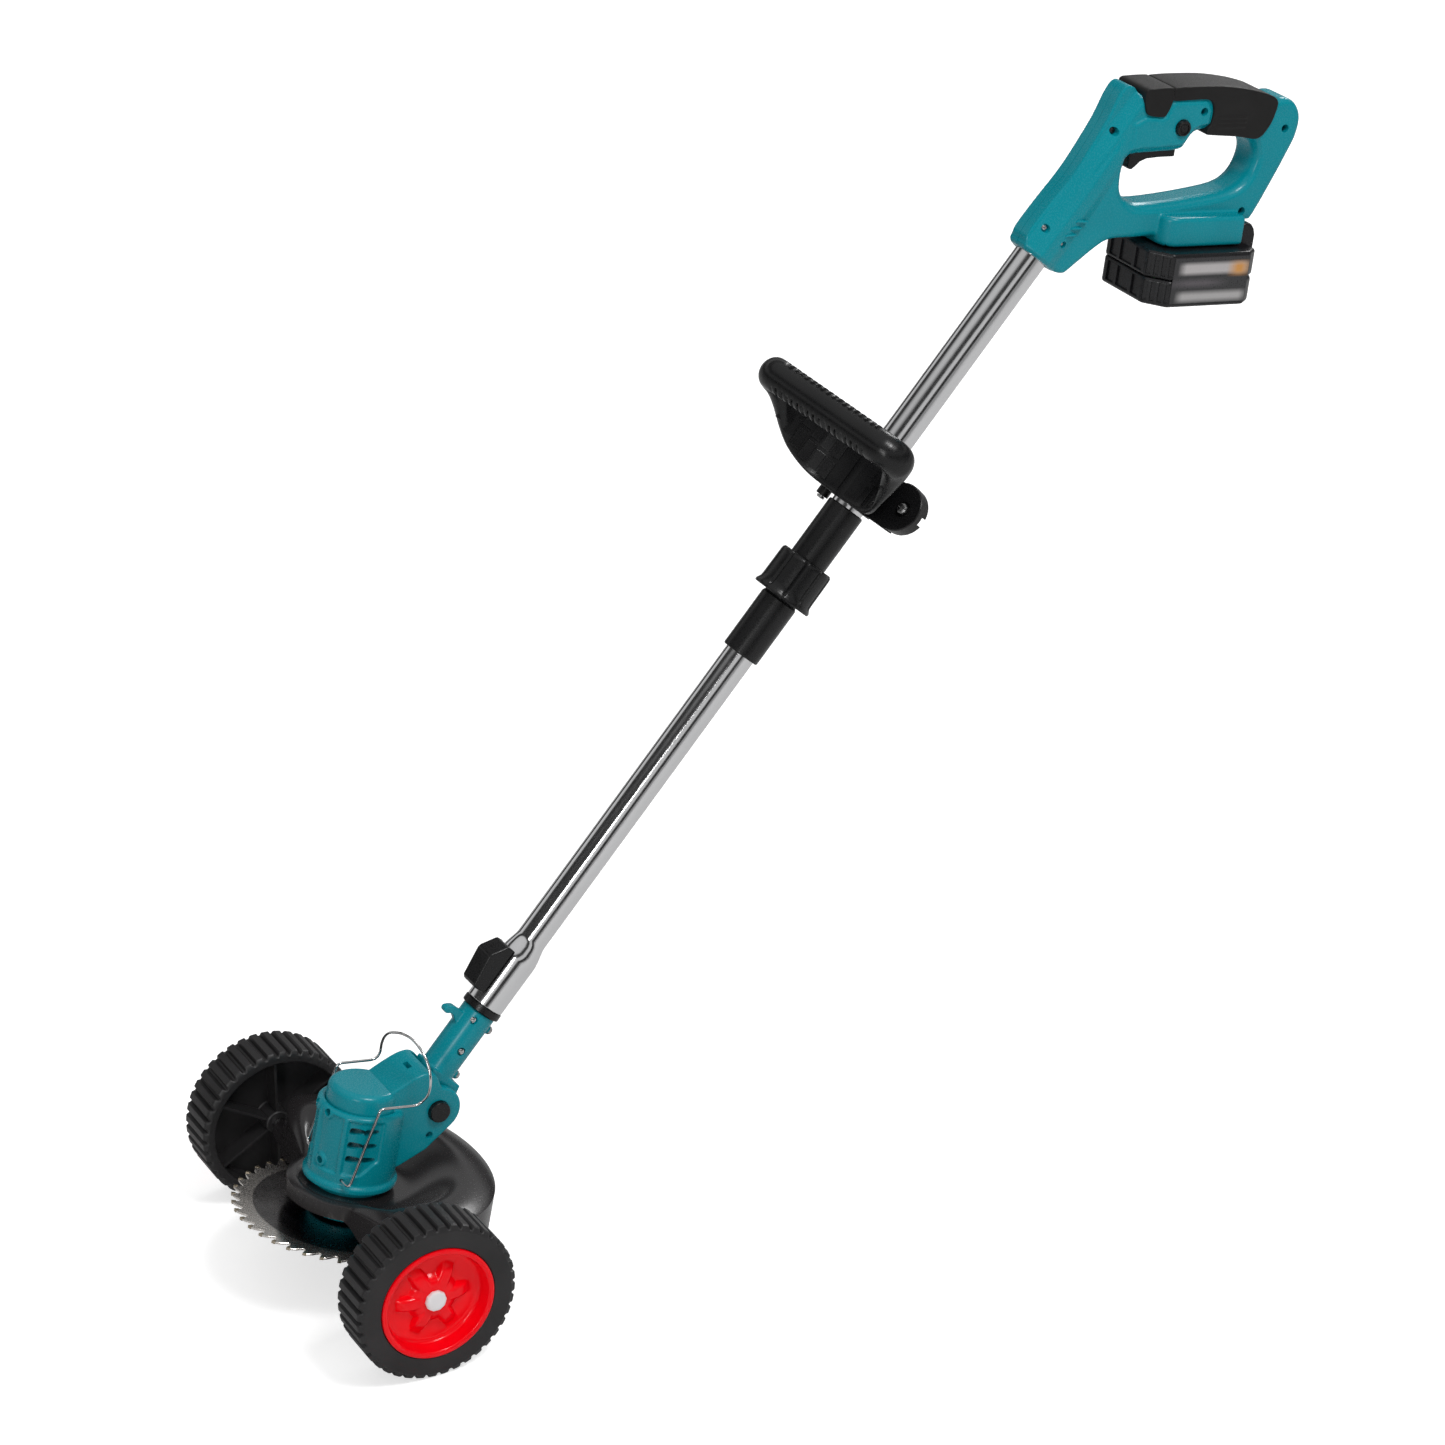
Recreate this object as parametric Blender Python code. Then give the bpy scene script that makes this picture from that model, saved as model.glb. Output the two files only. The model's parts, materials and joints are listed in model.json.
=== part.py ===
"""Cordless lawn edger: battery handle, telescoping pole with a loop handle, and a two-wheeled head with a saw blade.

The tool is modelled in its working pose, wheels on the ground plane and the battery handle up and back.
+X is to the tool's side, -Y is forward, +Z is up. Numbers below are millimetres unless they say otherwise.
Five empties hold the local frames: the handle, the pole, the loop handle, the head and the axle.
"""

import math

import bmesh
import bpy
from mathutils import Matrix, Vector

MM = 0.001
GAP = 0.15  # half of the clearance kept between two shells of a pair

# Layout: where each local frame sits. The tool is centred on the world origin, front to back.
AXLE_Y = -379.85
AXLE_Z = 66.5
HEAD_BACK = -2.7
HEAD_Z = 57.7
HEAD_TILT = -11.73
POLE_PITCH = 47.79
HANDLE_BACK = 695.9
HANDLE_Z = 700.5
HANDLE_TILT = -7.82
LOOP_TURN = 17.0

# Wheels
WHEEL_R = 66.5
WHEEL_ROOT_R = 63.4
WHEEL_LUGS = 40
WHEEL_INNER_X = 127.8
WHEEL_OUTER_X = 169.4
WHEEL_WEB_X = (150.0, 153.0)
RIM_R = 47.3
CAVITY_R = 56.0
WHEEL_BORE_R = 4.1
AXLE_R = 4.0

# Blade and motor housing, along the motor axis (z) of the head frame
BLADE_R = 88.9
BLADE_TEETH = 40
BLADE_T = 1.6
SHIELD_T = 2.6
HOUSING_R = 35.0
FLANGE_R = 37.5
CAP_R = 28.6
FLANGE_Z = (31.5, 36.0)
LEDGE_Z = 97.0
CAP_TOP_Z = 112.0
COLLAR_R = 28.7
CHEEK_X = (15.6, 22.0)
PIVOT_Y = 57.0
PIVOT_Z = 94.0
PIVOT_R = 19.5

# Pole, along the pole axis (z) of the pole frame; the pivot sits at PIVOT_S
PIVOT_S = -62.0
PIVOT_DROP = 9.0
NECK_R = 14.2
NECK_BOLT_X = 3.2
SPIGOT_R = 11.2
NECK_TOP_S = 19.4
SOCKET_R = 15.8
TUBE_LOW_R = 12.5
TUBE_LOW_BORE = 11.5
TUBE_TOP_R = 13.7
TUBE_TOP_BORE = 12.9
SLEEVE_R = 15.7
COLLAR_S = (420.0, 456.0)
SLEEVE_S = (366.0, 507.0)
HANDLE_ENTRY_S = 750.0

# The head pivot joins the pole frame to the head frame, so it fixes where the pole frame starts
HEAD_LEAN = math.radians(HEAD_TILT)
POLE_LEAN = math.radians(POLE_PITCH)
PIVOT_BACK = HEAD_BACK + PIVOT_Y * math.cos(HEAD_LEAN) - PIVOT_Z * math.sin(HEAD_LEAN)
PIVOT_UP = HEAD_Z + PIVOT_Y * math.sin(HEAD_LEAN) + PIVOT_Z * math.cos(HEAD_LEAN)
POLE_BACK = PIVOT_BACK - PIVOT_S * math.cos(POLE_LEAN) - PIVOT_DROP * math.sin(POLE_LEAN)
POLE_Z = PIVOT_UP - PIVOT_S * math.sin(POLE_LEAN) + PIVOT_DROP * math.cos(POLE_LEAN)

# Battery handle
SHELL_HALF = 17.5
GRIP_HALF = 20.0
FOOT_HALF = 31.0
BATTERY_L = 98.0
BATTERY_W = 88.0
BATTERY_H = 44.0
LOCK_Y = 20.5
LOCK_Z = 139.5
HANDLE_SCREWS = [(17.5, -39.5, 136.5), (17.5, 121, 136), (17.5, 92, 69), (21.0, -89, 60)]  # face x, then y, z

# Wire guard pivot and the axle, both in the head frame
GUARD_Y = -21.0
GUARD_Z = 42.0
AXLE_IN_HEAD = (0.86, 9.16)

TEAL = (0.0, 0.30, 0.33)
BLACK = (0.012, 0.012, 0.013)
CHARCOAL = (0.03, 0.03, 0.032)
RED = (0.62, 0.006, 0.01)
ALLOY = (0.80, 0.80, 0.81)
STEEL = (0.55, 0.55, 0.56)
COPPER = (0.55, 0.22, 0.10)


# ---------------------------------------------------------------- tools

def clear_scene():
    for obj in list(bpy.data.objects):
        bpy.data.objects.remove(obj, do_unlink=True)


def local_frame(name, y, z, tilt_deg, parent=None, turn_deg=0.0):
    """An empty at (0, y, z) turned about X, then about its own Z."""
    empty = bpy.data.objects.new(name, None)
    empty.empty_display_size = 0.03
    empty.parent = parent
    empty.location = (0.0, y * MM, z * MM)
    empty.rotation_mode = "XYZ"
    empty.rotation_euler = (math.radians(tilt_deg), 0.0, math.radians(turn_deg))
    bpy.context.scene.collection.objects.link(empty)
    return empty


def material(name, colour, roughness, metallic):
    made = bpy.data.materials.new(name)
    made.use_nodes = True
    shader = made.node_tree.nodes["Principled BSDF"]
    shader.inputs["Base Color"].default_value = (*colour, 1.0)
    shader.inputs["Roughness"].default_value = roughness
    shader.inputs["Metallic"].default_value = metallic
    made.diffuse_color = (*colour, 1.0)
    return made


def to_object(name, bm, frame, at=(0.0, 0.0, 0.0), look=None):
    """Turns a bmesh in millimetres of its frame into an object whose origin is at that point of the frame."""
    bmesh.ops.recalc_face_normals(bm, faces=bm.faces)
    bmesh.ops.translate(bm, verts=bm.verts, vec=-Vector(at))
    bmesh.ops.scale(bm, verts=bm.verts, vec=(MM, MM, MM))
    mesh = bpy.data.meshes.new(name)
    bm.to_mesh(mesh)
    bm.free()
    mesh.shade_smooth()
    mesh.set_sharp_from_angle(angle=math.radians(35.0))
    obj = bpy.data.objects.new(name, mesh)
    obj.parent = frame
    obj.location = Vector(at) * MM
    bpy.context.scene.collection.objects.link(obj)
    if look:
        mesh.materials.append(material(name + "_look", *look))
    else:
        obj.hide_render = True
        obj.display_type = "WIRE"
    return obj


def boolean(obj, others, operation):
    """One exact Boolean with one helper, or with a group of helpers taken together."""
    modifier = obj.modifiers.new(operation.title(), "BOOLEAN")
    modifier.operation = operation
    modifier.solver = "EXACT"
    if len(others) == 1:
        modifier.object = others[0]
        return
    group = bpy.data.collections.new(operation.title() + "_for_" + obj.name)
    bpy.context.scene.collection.children.link(group)
    group.hide_render = True
    for other in others:
        group.objects.link(other)
    modifier.operand_type = "COLLECTION"
    modifier.collection = group


def cut(obj, *others):
    boolean(obj, others, "DIFFERENCE")


def join(obj, *others):
    boolean(obj, others, "UNION")


def bevel(obj, width, segments=2, angle=40.0):
    modifier = obj.modifiers.new("Bevel", "BEVEL")
    modifier.width = width * MM
    modifier.segments = segments
    modifier.limit_method = "ANGLE"
    modifier.angle_limit = math.radians(angle)
    modifier.harden_normals = False


def placed(point, axis):
    """Maps a point built around Z onto the wanted axis."""
    x, y, z = point
    if axis == "X":
        return (z, x, y)
    if axis == "Y":
        return (y, z, x)
    return (x, y, z)


def turned(profile, segments=32, axis="Z", centre=(0.0, 0.0, 0.0)):
    """A closed body turned about the axis from (radius, height) points, the outline closed on itself."""
    bm = bmesh.new()
    rings = []
    for radius, height in profile:
        count = segments if radius > 0 else 1
        ring = []
        for step in range(count):
            angle = 2 * math.pi * step / segments
            spot = placed((radius * math.cos(angle), radius * math.sin(angle), height), axis)
            ring.append(bm.verts.new(Vector(spot) + Vector(centre)))
        rings.append(ring)
    on_axis = len(rings[0]) == 1 and len(rings[-1]) == 1
    for index in range(len(rings) - 1 if on_axis else len(rings)):
        stitch(bm, rings[index], rings[(index + 1) % len(rings)])
    return bm


def stitch(bm, first, second):
    """Faces between two rings of points, either of which may be a single point."""
    count = max(len(first), len(second))
    for step in range(count):
        after = (step + 1) % count
        corners = [first[step % len(first)], first[after % len(first)]]
        corners += [second[after % len(second)], second[step % len(second)]]
        corners = [v for i, v in enumerate(corners) if v not in corners[:i]]
        if len(corners) > 2:
            bm.faces.new(corners)


def rod(radius, low, high, segments=24, axis="Z", centre=(0.0, 0.0, 0.0)):
    return turned([(0, low), (radius, low), (radius, high), (0, high)], segments, axis, centre)


def pipe(outer, inner, low, high, segments=32, axis="Z", centre=(0.0, 0.0, 0.0)):
    return turned([(inner, low), (outer, low), (outer, high), (inner, high)], segments, axis, centre)


def prism(outline, low, high, axis="X"):
    """An outline extruded along an axis: (y, z) points along X, (x, y) points along Z, (z, x) points along Y."""
    bm = bmesh.new()
    ends = []
    for height in (low, high):
        ends.append([bm.verts.new(placed((a, b, height), axis)) for a, b in outline])
    bm.faces.new(ends[0])
    bm.faces.new(ends[1])
    stitch(bm, ends[0], ends[1])
    return bm


def block(x, y, z):
    return prism([(x[0], y[0]), (x[1], y[0]), (x[1], y[1]), (x[0], y[1])], z[0], z[1], "Z")


def arc(centre, radius, start, end, steps):
    """Points along an arc, angles in degrees."""
    points = []
    for step in range(steps + 1):
        angle = math.radians(start + (end - start) * step / steps)
        points.append((centre[0] + radius * math.cos(angle), centre[1] + radius * math.sin(angle)))
    return points


def wire(name, points, radius, frame, look, at=(0.0, 0.0, 0.0), resolution=2):
    """A round wire through the points, as a curve with a bevel and filled ends."""
    curve = bpy.data.curves.new(name, "CURVE")
    curve.dimensions = "3D"
    curve.bevel_depth = radius * MM
    curve.bevel_resolution = resolution
    curve.use_fill_caps = True
    spline = curve.splines.new("POLY")
    spline.points.add(len(points) - 1)
    for spot, point in zip(spline.points, points):
        spot.co = (*((Vector(point) - Vector(at)) * MM), 1.0)
    obj = bpy.data.objects.new(name, curve)
    obj.parent = frame
    obj.location = Vector(at) * MM
    bpy.context.scene.collection.objects.link(obj)
    curve.materials.append(material(name + "_look", *look))
    return obj


def coil_points(radius, low, high, turns, per_turn=8):
    points = []
    for step in range(turns * per_turn + 1):
        angle = 2 * math.pi * step / per_turn
        height = low + (high - low) * step / (turns * per_turn)
        points.append((radius * math.cos(angle), radius * math.sin(angle), height))
    return points


# ---------------------------------------------------------------- battery handle

def handle_outline():
    """Outer edge of the clamshell in (y, z) of the handle frame: front column, grip core, rear column, foot."""
    front = [(-101, 58), (-70, 100), (-46, 143), (-38, 165), (-31.5, 171.5), (-24, 170), (-19, 163)]
    top = [(0, 166), (38, 167), (88, 162.5), (108, 157), (112, 161), (121, 161), (130, 155)]
    rear = [(135.5, 143), (134, 129), (121, 98), (105.5, 66), (98, 58)]
    base = [(88, 53), (40, 51), (-8, 50), (-35, 51), (-58, 30), (-71, 22), (-101, 43), (-104, 50)]
    return front + top + rear + base


def opening_outline():
    lower = [(-25, 112), (-25.5, 98), (-24, 87), (-16, 79), (-4, 76), (20, 77.5), (50, 81), (78, 86), (91, 94)]
    upper = [(97, 106), (97, 118), (89, 128), (72, 133), (50, 135), (37, 133), (31, 124), (24, 119), (-19, 117)]
    return lower + upper


def pole_to_handle(s):
    """The point of the pole axis at distance s, in (y, z) of the handle frame."""
    pitch = math.radians(POLE_PITCH)
    dy = POLE_BACK + s * math.cos(pitch) - HANDLE_BACK
    dz = POLE_Z + s * math.sin(pitch) - HANDLE_Z
    tilt = math.radians(HANDLE_TILT)
    return (dy * math.cos(tilt) + dz * math.sin(tilt), -dy * math.sin(tilt) + dz * math.cos(tilt))


def lay_on_pole(bm):
    """Moves a body built along Z, with 0 where the pole enters, onto the pole axis in the handle frame."""
    turn = math.radians(POLE_PITCH - HANDLE_TILT - 90.0)
    bmesh.ops.rotate(bm, verts=bm.verts, cent=(0, 0, 0), matrix=Matrix.Rotation(turn, 3, "X"))
    y, z = pole_to_handle(HANDLE_ENTRY_S)
    bmesh.ops.translate(bm, verts=bm.verts, vec=(0, y, z))
    return bm


def handle_body(name, frame):
    """The whole handle before it is split: column round the pole, grip core, rear column and battery foot."""
    body = to_object(name, prism(handle_outline(), -SHELL_HALF, SHELL_HALF), frame)
    bevel(body, 7.0, 3)
    column = turned([(0, 0), (19.0, 0), (21.0, 2.5), (21.0, 62), (17.0, 95), (0, 95)], 32)
    nose = arc((FOOT_HALF - 14, 27), 14, 0, -90, 5)
    plan = [(x, y) for x, y in nose] + [(-x, y) for x, y in reversed(nose)] + [(-FOOT_HALF, 88), (FOOT_HALF, 88)]
    foot = to_object(name + "_foot", prism(plan, 45.2, 69.0, "Z"), frame)
    bevel(foot, 2.0, 2)
    join(body, to_object(name + "_column", lay_on_pole(column), frame), foot)
    return body


def handle_cavities(frame):
    """Hollows shared by both shells: pole socket, trigger, switch and wiring bays, battery rail channel."""
    socket = lay_on_pole(rod(14.0, -40, 55, 28))
    return [
        to_object("cut_socket", socket, frame),
        to_object("cut_opening", prism(opening_outline(), -60, 60), frame),
        to_object("cut_trigger_bay", block((-8.4, 8.4), (-19.5, 29), (100, 126)), frame),
        to_object("cut_switch_bay", block((-12.5, 12.5), (-23, 38), (125.5, 158)), frame),
        to_object("cut_grip_bay", block((-9, 9), (37.5, 112), (142, 157)), frame),
        to_object("cut_column_bay", block((-11, 11), (-47, -31), (88, 140)), frame),
        to_object("cut_rear_bay", block((-10, 10), (108, 121), (90, 146)), frame),
        to_object("cut_lock_bore", rod(6.9, -40, 40, 20, "X", (0, LOCK_Y, LOCK_Z)), frame),
        to_object("cut_rail_channel", block((-26.6, 26.6), (17, 140), (20, 62.5)), frame),
    ]


def build_handle(frame):
    cavities = handle_cavities(frame)
    for side, sign in (("right", 1), ("left", -1)):
        shell = to_object(
            "handle_shell_" + side,
            block(sorted((sign * GAP, sign * 60)), (-130, 160), (0, 190)),
            frame,
            look=(TEAL, 0.38, 0.0),
        )
        boolean(shell, [handle_body("body_" + side, frame)], "INTERSECT")
        bores = []
        for index, (x, y, z) in enumerate(HANDLE_SCREWS):
            bore = rod(3.3, *sorted((sign * (x - 9.0), sign * (x + 20))), 12, "X", (0, y, z))
            bores.append(to_object("cut_screw_%s_%d" % (side, index), bore, frame))
        cut(shell, *cavities, *bores)
    for index, (x, y, z) in enumerate(HANDLE_SCREWS):
        profile = [(0, x - 8.6), (1.5, x - 8.6), (1.5, x - 8.5), (3.0, x - 8.5), (3.0, x - 6.0), (0, x - 6.0)]
        screw = turned(profile, 12, "X", (0, y, z))
        to_object("handle_screw_%d" % (index + 1), screw, frame, look=(STEEL, 0.35, 1.0))


def build_grip(frame):
    """Soft covers over the grip core: a long rear sleeve and a front thumb pad."""
    core = prism(handle_outline(), -SHELL_HALF - 0.3, SHELL_HALF + 0.3)
    grow_outline(core, 0.3)
    core = to_object("cut_grip_core", core, frame)
    bevel(core, 6.4, 3)
    rear = [(34, 148), (30, 163), (33, 169.5), (60, 170.5), (88, 167), (107.5, 161)]
    rear += [(107.5, 149), (103, 137), (94, 128.5), (76, 130.8), (50, 132.4), (36, 131.2)]
    sleeve = to_object("grip_sleeve", prism(rear, -GRIP_HALF, GRIP_HALF), frame, look=(CHARCOAL, 0.75, 0.0))
    bevel(sleeve, 6.5, 3)
    cut(sleeve, core)
    pad = [(-15.5, 163), (-16.5, 168), (-6, 170), (29.4, 170.5), (29.4, 163), (22, 152), (14, 143.5), (0, 142.5), (-8, 149)]
    thumb = to_object("thumb_pad", prism(pad, -GRIP_HALF, GRIP_HALF), frame, look=(CHARCOAL, 0.75, 0.0))
    bevel(thumb, 5.5, 3)
    cut(thumb, core)


def build_trigger_group(frame):
    trigger = [(-17, 104), (-11, 104.5), (-6, 109.5), (4, 112), (26, 112.5), (26, 121), (10, 121), (10, 124.6)]
    trigger += [(-10, 124.6), (-10, 121), (-17, 121)]
    piece = to_object("trigger", prism(trigger, -7.6, 7.6), frame, (0, 0, 112), (BLACK, 0.45, 0.0))
    bevel(piece, 1.0, 2)
    switch = block((-10, 10), (-20, 9.5), (136.5, 156))
    to_object("switch_body", switch, frame, look=((0.05, 0.05, 0.06), 0.5, 0.0))
    spring = coil_points(3.2, 125.4, 135.8, 4)
    wire("trigger_spring", spring, 0.5, frame, (STEEL, 0.3, 1.0), resolution=0)
    profile = [(0, -22.5), (5.6, -22.5), (6.5, -21.6), (6.5, 21.6), (5.6, 22.5), (0, 22.5)]
    centre = (0, LOCK_Y, LOCK_Z)
    button = turned(profile, 20, "X", centre)
    to_object("lock_off_button", button, frame, centre, (BLACK, 0.4, 0.0))
    terminal = block((-18, 18), (17.6, 22), (47, 62))
    to_object("terminal_block", terminal, frame, look=(BLACK, 0.5, 0.0))


def build_battery(frame):
    half = BATTERY_W / 2
    plan = [(-half, 15), (-half + 16, 0), (half - 16, 0), (half, 15), (half, BATTERY_L - 10)]
    plan += [(half - 8, BATTERY_L), (-half + 8, BATTERY_L), (-half, BATTERY_L - 10)]
    tray = to_object("battery_tray", prism(plan, 0, 22, "Z"), frame, look=(BLACK, 0.4, 0.0))
    bevel(tray, 3.0, 2)
    lid = to_object("battery_lid", prism(plan, 22.3, BATTERY_H, "Z"), frame, look=(BLACK, 0.4, 0.0))
    hump = [(89.2, 30), (89.2, 59.5), (92, 62), (98, 61), (103, 54), (BATTERY_L + 5, 40), (BATTERY_L + 2, 26)]
    rail = to_object("join_battery_rail", block((-25, 25), (23, 89.5), (40, 60)), frame)
    join(lid, rail, to_object("join_battery_hump", prism(hump, -26, 26), frame))
    slot = to_object("cut_battery_slot", block((-14, 14), (10, 70), (54, 70)), frame)
    cells_bay = to_object("cut_cell_bay", block((-32.5, 32.5), (6.4, 93), (4, 40)), frame)
    cut(tray, cells_bay)
    latch_bay = to_object("cut_latch_bay", block((-15, 15), (92, 120), (44, 58)), frame)
    cut(lid, slot, cells_bay, latch_bay)
    latch = [(95.6, 45), (95.6, 57.5), (101, 57.5), (105, 48), (105, 45)]
    button = to_object("battery_release", prism(latch, -14.6, 14.6), frame, (0, 100, 51), (TEAL, 0.4, 0.0))
    bevel(button, 0.8, 1)
    radius = 8.6
    outline = []
    for row, (height, first, last) in enumerate(((13.2, 180, 360), (30.8, 0, 180))):
        for index in range(5):
            column = index if row == 0 else 4 - index
            outline += arc((15.7 + 17.0 * column, height), radius, first + 14, last - 14, 5)
    to_object("battery_cells", prism(outline, -31, 31), frame, look=((0.10, 0.22, 0.10), 0.4, 0.0))


def grow_outline(bm, amount):
    """Pushes a prism's side out by an amount, measured in its own plane."""
    bmesh.ops.recalc_face_normals(bm, faces=bm.faces)
    moves = {}
    for vert in bm.verts:
        sides = [f.normal.copy() for f in vert.link_faces if abs(f.normal.x) < 0.5]
        total = sum(sides, Vector((0, 0, 0))).normalized()
        moves[vert] = total * amount / max(0.4, total.dot(sides[0]))
    for vert, move in moves.items():
        vert.co += move


# ---------------------------------------------------------------- pole

def build_pole(frame):
    upper = pipe(TUBE_TOP_R, TUBE_TOP_BORE, COLLAR_S[1] + 4, HANDLE_ENTRY_S + 50, 32)
    to_object("upper_tube", upper, frame, look=(ALLOY, 0.12, 1.0))
    sleeve = [
        (TUBE_LOW_R + 0.3, SLEEVE_S[0]), (SLEEVE_R, SLEEVE_S[0]), (SLEEVE_R, COLLAR_S[0] - 2),
        (14.3, COLLAR_S[0] + 2), (14.3, COLLAR_S[1] - 6), (SLEEVE_R, COLLAR_S[1] - 2), (SLEEVE_R, SLEEVE_S[1]),
        (TUBE_TOP_R + 0.2, SLEEVE_S[1]), (TUBE_TOP_R + 0.2, COLLAR_S[1] + 3.6), (TUBE_LOW_R + 0.3, COLLAR_S[1] + 3.6),
    ]
    to_object("pole_sleeve", turned(sleeve, 32), frame, look=(BLACK, 0.45, 0.0))
    bush = pipe(15.9, 14.5, COLLAR_S[0] + 4, COLLAR_S[1] - 9, 24)
    to_object("clamp_bush", bush, frame, look=((0.5, 0.5, 0.48), 0.5, 0.0))
    flutes = []
    for index in range(10):
        start = 36.0 * index
        flutes += arc((0, 0), 23.4, start + 3, start + 33, 3)
        flutes += arc((0, 0), 22.2, start + 34.5, start + 36.5, 1)
    collar = to_object(
        "twist_collar", prism(flutes, COLLAR_S[0] + 2, COLLAR_S[1], "Z"), frame, (0, 0, COLLAR_S[0]), (BLACK, 0.4, 0.0)
    )
    join(collar, to_object("join_collar_lip", turned([(0, 420), (25.4, 420), (25.4, 421.5), (22.8, 425), (0, 425)], 40), frame))
    cut(collar, to_object("cut_collar_bore", rod(16.2, 400, 480, 32), frame))

    tube = [
        (12.9, 26.2), (SOCKET_R, 26.2), (SOCKET_R, 72), (TUBE_LOW_R, 88), (TUBE_LOW_R, 530),
        (TUBE_LOW_BORE, 530), (TUBE_LOW_BORE, 87), (12.9, 76),
    ]
    lower = to_object("lower_tube", turned(tube, 32), frame, look=(ALLOY, 0.12, 1.0))
    window = to_object("cut_button_window", block((-5.3, 5.3), (-40, -8), (38.7, 67.3)), frame)
    cut(lower, window)
    ring = pipe(16.4, 12.0, NECK_TOP_S + 0.4, 25.9, 32)
    to_object("socket_ring", ring, frame, look=(BLACK, 0.45, 0.0))
    wedge = [(34, -9), (34, -25), (37, -27), (61, -31), (64, -30), (75, -21), (75, -9)]
    button = to_object(
        "head_release_button",
        prism([(y, s) for s, y in wedge], -11.5, 11.5),
        frame,
        (0, -20, 54),
        (BLACK, 0.45, 0.0),
    )
    bevel(button, 1.2, 2)
    cut(button, to_object("cut_button_saddle", rod(18.4, 0, 120, 32), frame))
    join(button, to_object("join_button_stem", block((-5, 5), (-22, -13.4), (39, 67)), frame))


# ---------------------------------------------------------------- neck and pivot

def neck_body(name, frame):
    """Round neck with its spigot, hook tab and pivot tongue, before it is split."""
    profile = [(0, -44), (NECK_R, -44), (NECK_R, NECK_TOP_S), (SPIGOT_R, NECK_TOP_S), (SPIGOT_R, 70), (0, 70)]
    body = to_object(name, turned(profile, 32), frame)
    tongue = arc((PIVOT_DROP, PIVOT_S), 15.0, 180, 360, 12) + [(PIVOT_DROP + 9, -38), (-13, -36), (-11, -52)]
    hook = [(-12, 2), (-22, 7), (-29.5, 5), (-30.5, 8.5), (-24, 12.5), (-12, 12)]
    tongue = to_object(name + "_tongue", prism(tongue, -14.0, 14.0), frame)
    join(body, tongue, to_object(name + "_hook", prism(hook, -3.5, 3.5), frame))
    return body


def build_neck(frame):
    bore = to_object("cut_neck_bore", rod(7.5, -46, 80, 20), frame)
    pivot_bore = to_object("cut_neck_pivot", rod(5.09, -40, 40, 24, "X", (0, PIVOT_DROP, PIVOT_S)), frame)
    cable_way = to_object("cut_neck_cable", block((-7, 7), (-9.5, 8), (-90, -40)), frame)
    bolts = [(10.0, "upper"), (-33.5, "lower")]
    for side, sign in (("right", 1), ("left", -1)):
        shell = to_object(
            "neck_shell_" + side,
            block(sorted((sign * GAP, sign * 30)), (-45, 45), (-90, 90)),
            frame,
            look=(TEAL, 0.38, 0.0),
        )
        boolean(shell, [neck_body("neck_" + side, frame)], "INTERSECT")
        holes = [to_object("cut_side_" + side, rod(1.9, -40, 40, 12, "X", (0, -1.0, -14)), frame)]
        for s, label in bolts:
            hole = rod(2.3, -12.4, 40, 12, "Y", (NECK_BOLT_X, 0, s))
            holes.append(to_object("cut_%s_%s" % (label, side), hole, frame))
        cut(shell, bore, pivot_bore, cable_way, *holes)
    for s, label in bolts:
        stem = [(0, -12.0), (2.0, -12.0), (2.0, 14.4), (3.2, 14.4), (3.2, 18.0), (0, 18.0)]
        bolt = turned(stem, 12, "Y", (NECK_BOLT_X, 0, s))
        to_object("neck_bolt_" + label, bolt, frame, look=(STEEL, 0.25, 1.0))
    stem = [(0, -13.0), (1.6, -13.0), (1.6, 14.6), (3.4, 14.6), (3.4, 16.2), (0, 16.2)]
    to_object("neck_screw", turned(stem, 12, "X", (0, -1.0, -14)), frame, look=(STEEL, 0.25, 1.0))


def build_pivot(frame):
    """Bolt through the yoke cheeks and the neck, and the sprung lock button on the right cheek."""
    centre = (0, PIVOT_Y, PIVOT_Z)
    shank = [(0, -24.5), (8.0, -24.5), (8.0, -22.3), (5.0, -22.3), (5.0, 15.2), (0, 15.2)]
    to_object("pivot_bolt", turned(shank, 24, "X", centre), frame, centre, (STEEL, 0.3, 1.0))
    knob = [(0, 17.8), (4.9, 17.8), (4.9, 20.0), (8.7, 20.0), (8.7, 25.0), (7.6, 26.2), (0, 26.2)]
    to_object("pivot_lock_button", turned(knob, 24, "X", centre), frame, centre, (BLACK, 0.5, 0.0))
    points = [placed(p, "X") for p in coil_points(6.6, 16.75, 17.55, 1, 16)]
    points = [tuple(Vector(p) + Vector(centre)) for p in points]
    wire("pivot_spring", points, 0.35, frame, (STEEL, 0.3, 1.0), resolution=0)


# ---------------------------------------------------------------- motor head

def yoke_outline():
    top = [(-14, 60), (-14, 94), (6, 104), (14, 112), (26, 120), (36, 126), (45, 127.5), (51, 123)]
    lug = arc((PIVOT_Y, PIVOT_Z), PIVOT_R, 90, -42, 12)
    return top + lug + [(52, 60), (30, 46.5), (8, 44)]


def housing_body(name, frame):
    profile = [
        (0, FLANGE_Z[0]), (FLANGE_R, FLANGE_Z[0]), (FLANGE_R, FLANGE_Z[1]), (HOUSING_R + 0.6, FLANGE_Z[1] + 1.5),
        (HOUSING_R, LEDGE_Z - 6), (HOUSING_R - 1.5, LEDGE_Z - 1.5), (HOUSING_R - 5, LEDGE_Z), (CAP_R + 0.4, LEDGE_Z),
        (CAP_R + 0.4, LEDGE_Z - 2), (0, LEDGE_Z - 2),
    ]
    body = to_object(name, turned(profile, 48), frame)
    yoke = to_object(name + "_yoke", prism(yoke_outline(), -CHEEK_X[1], CHEEK_X[1]), frame)
    bevel(yoke, 3.0, 2)
    join(body, yoke)
    return body


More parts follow.
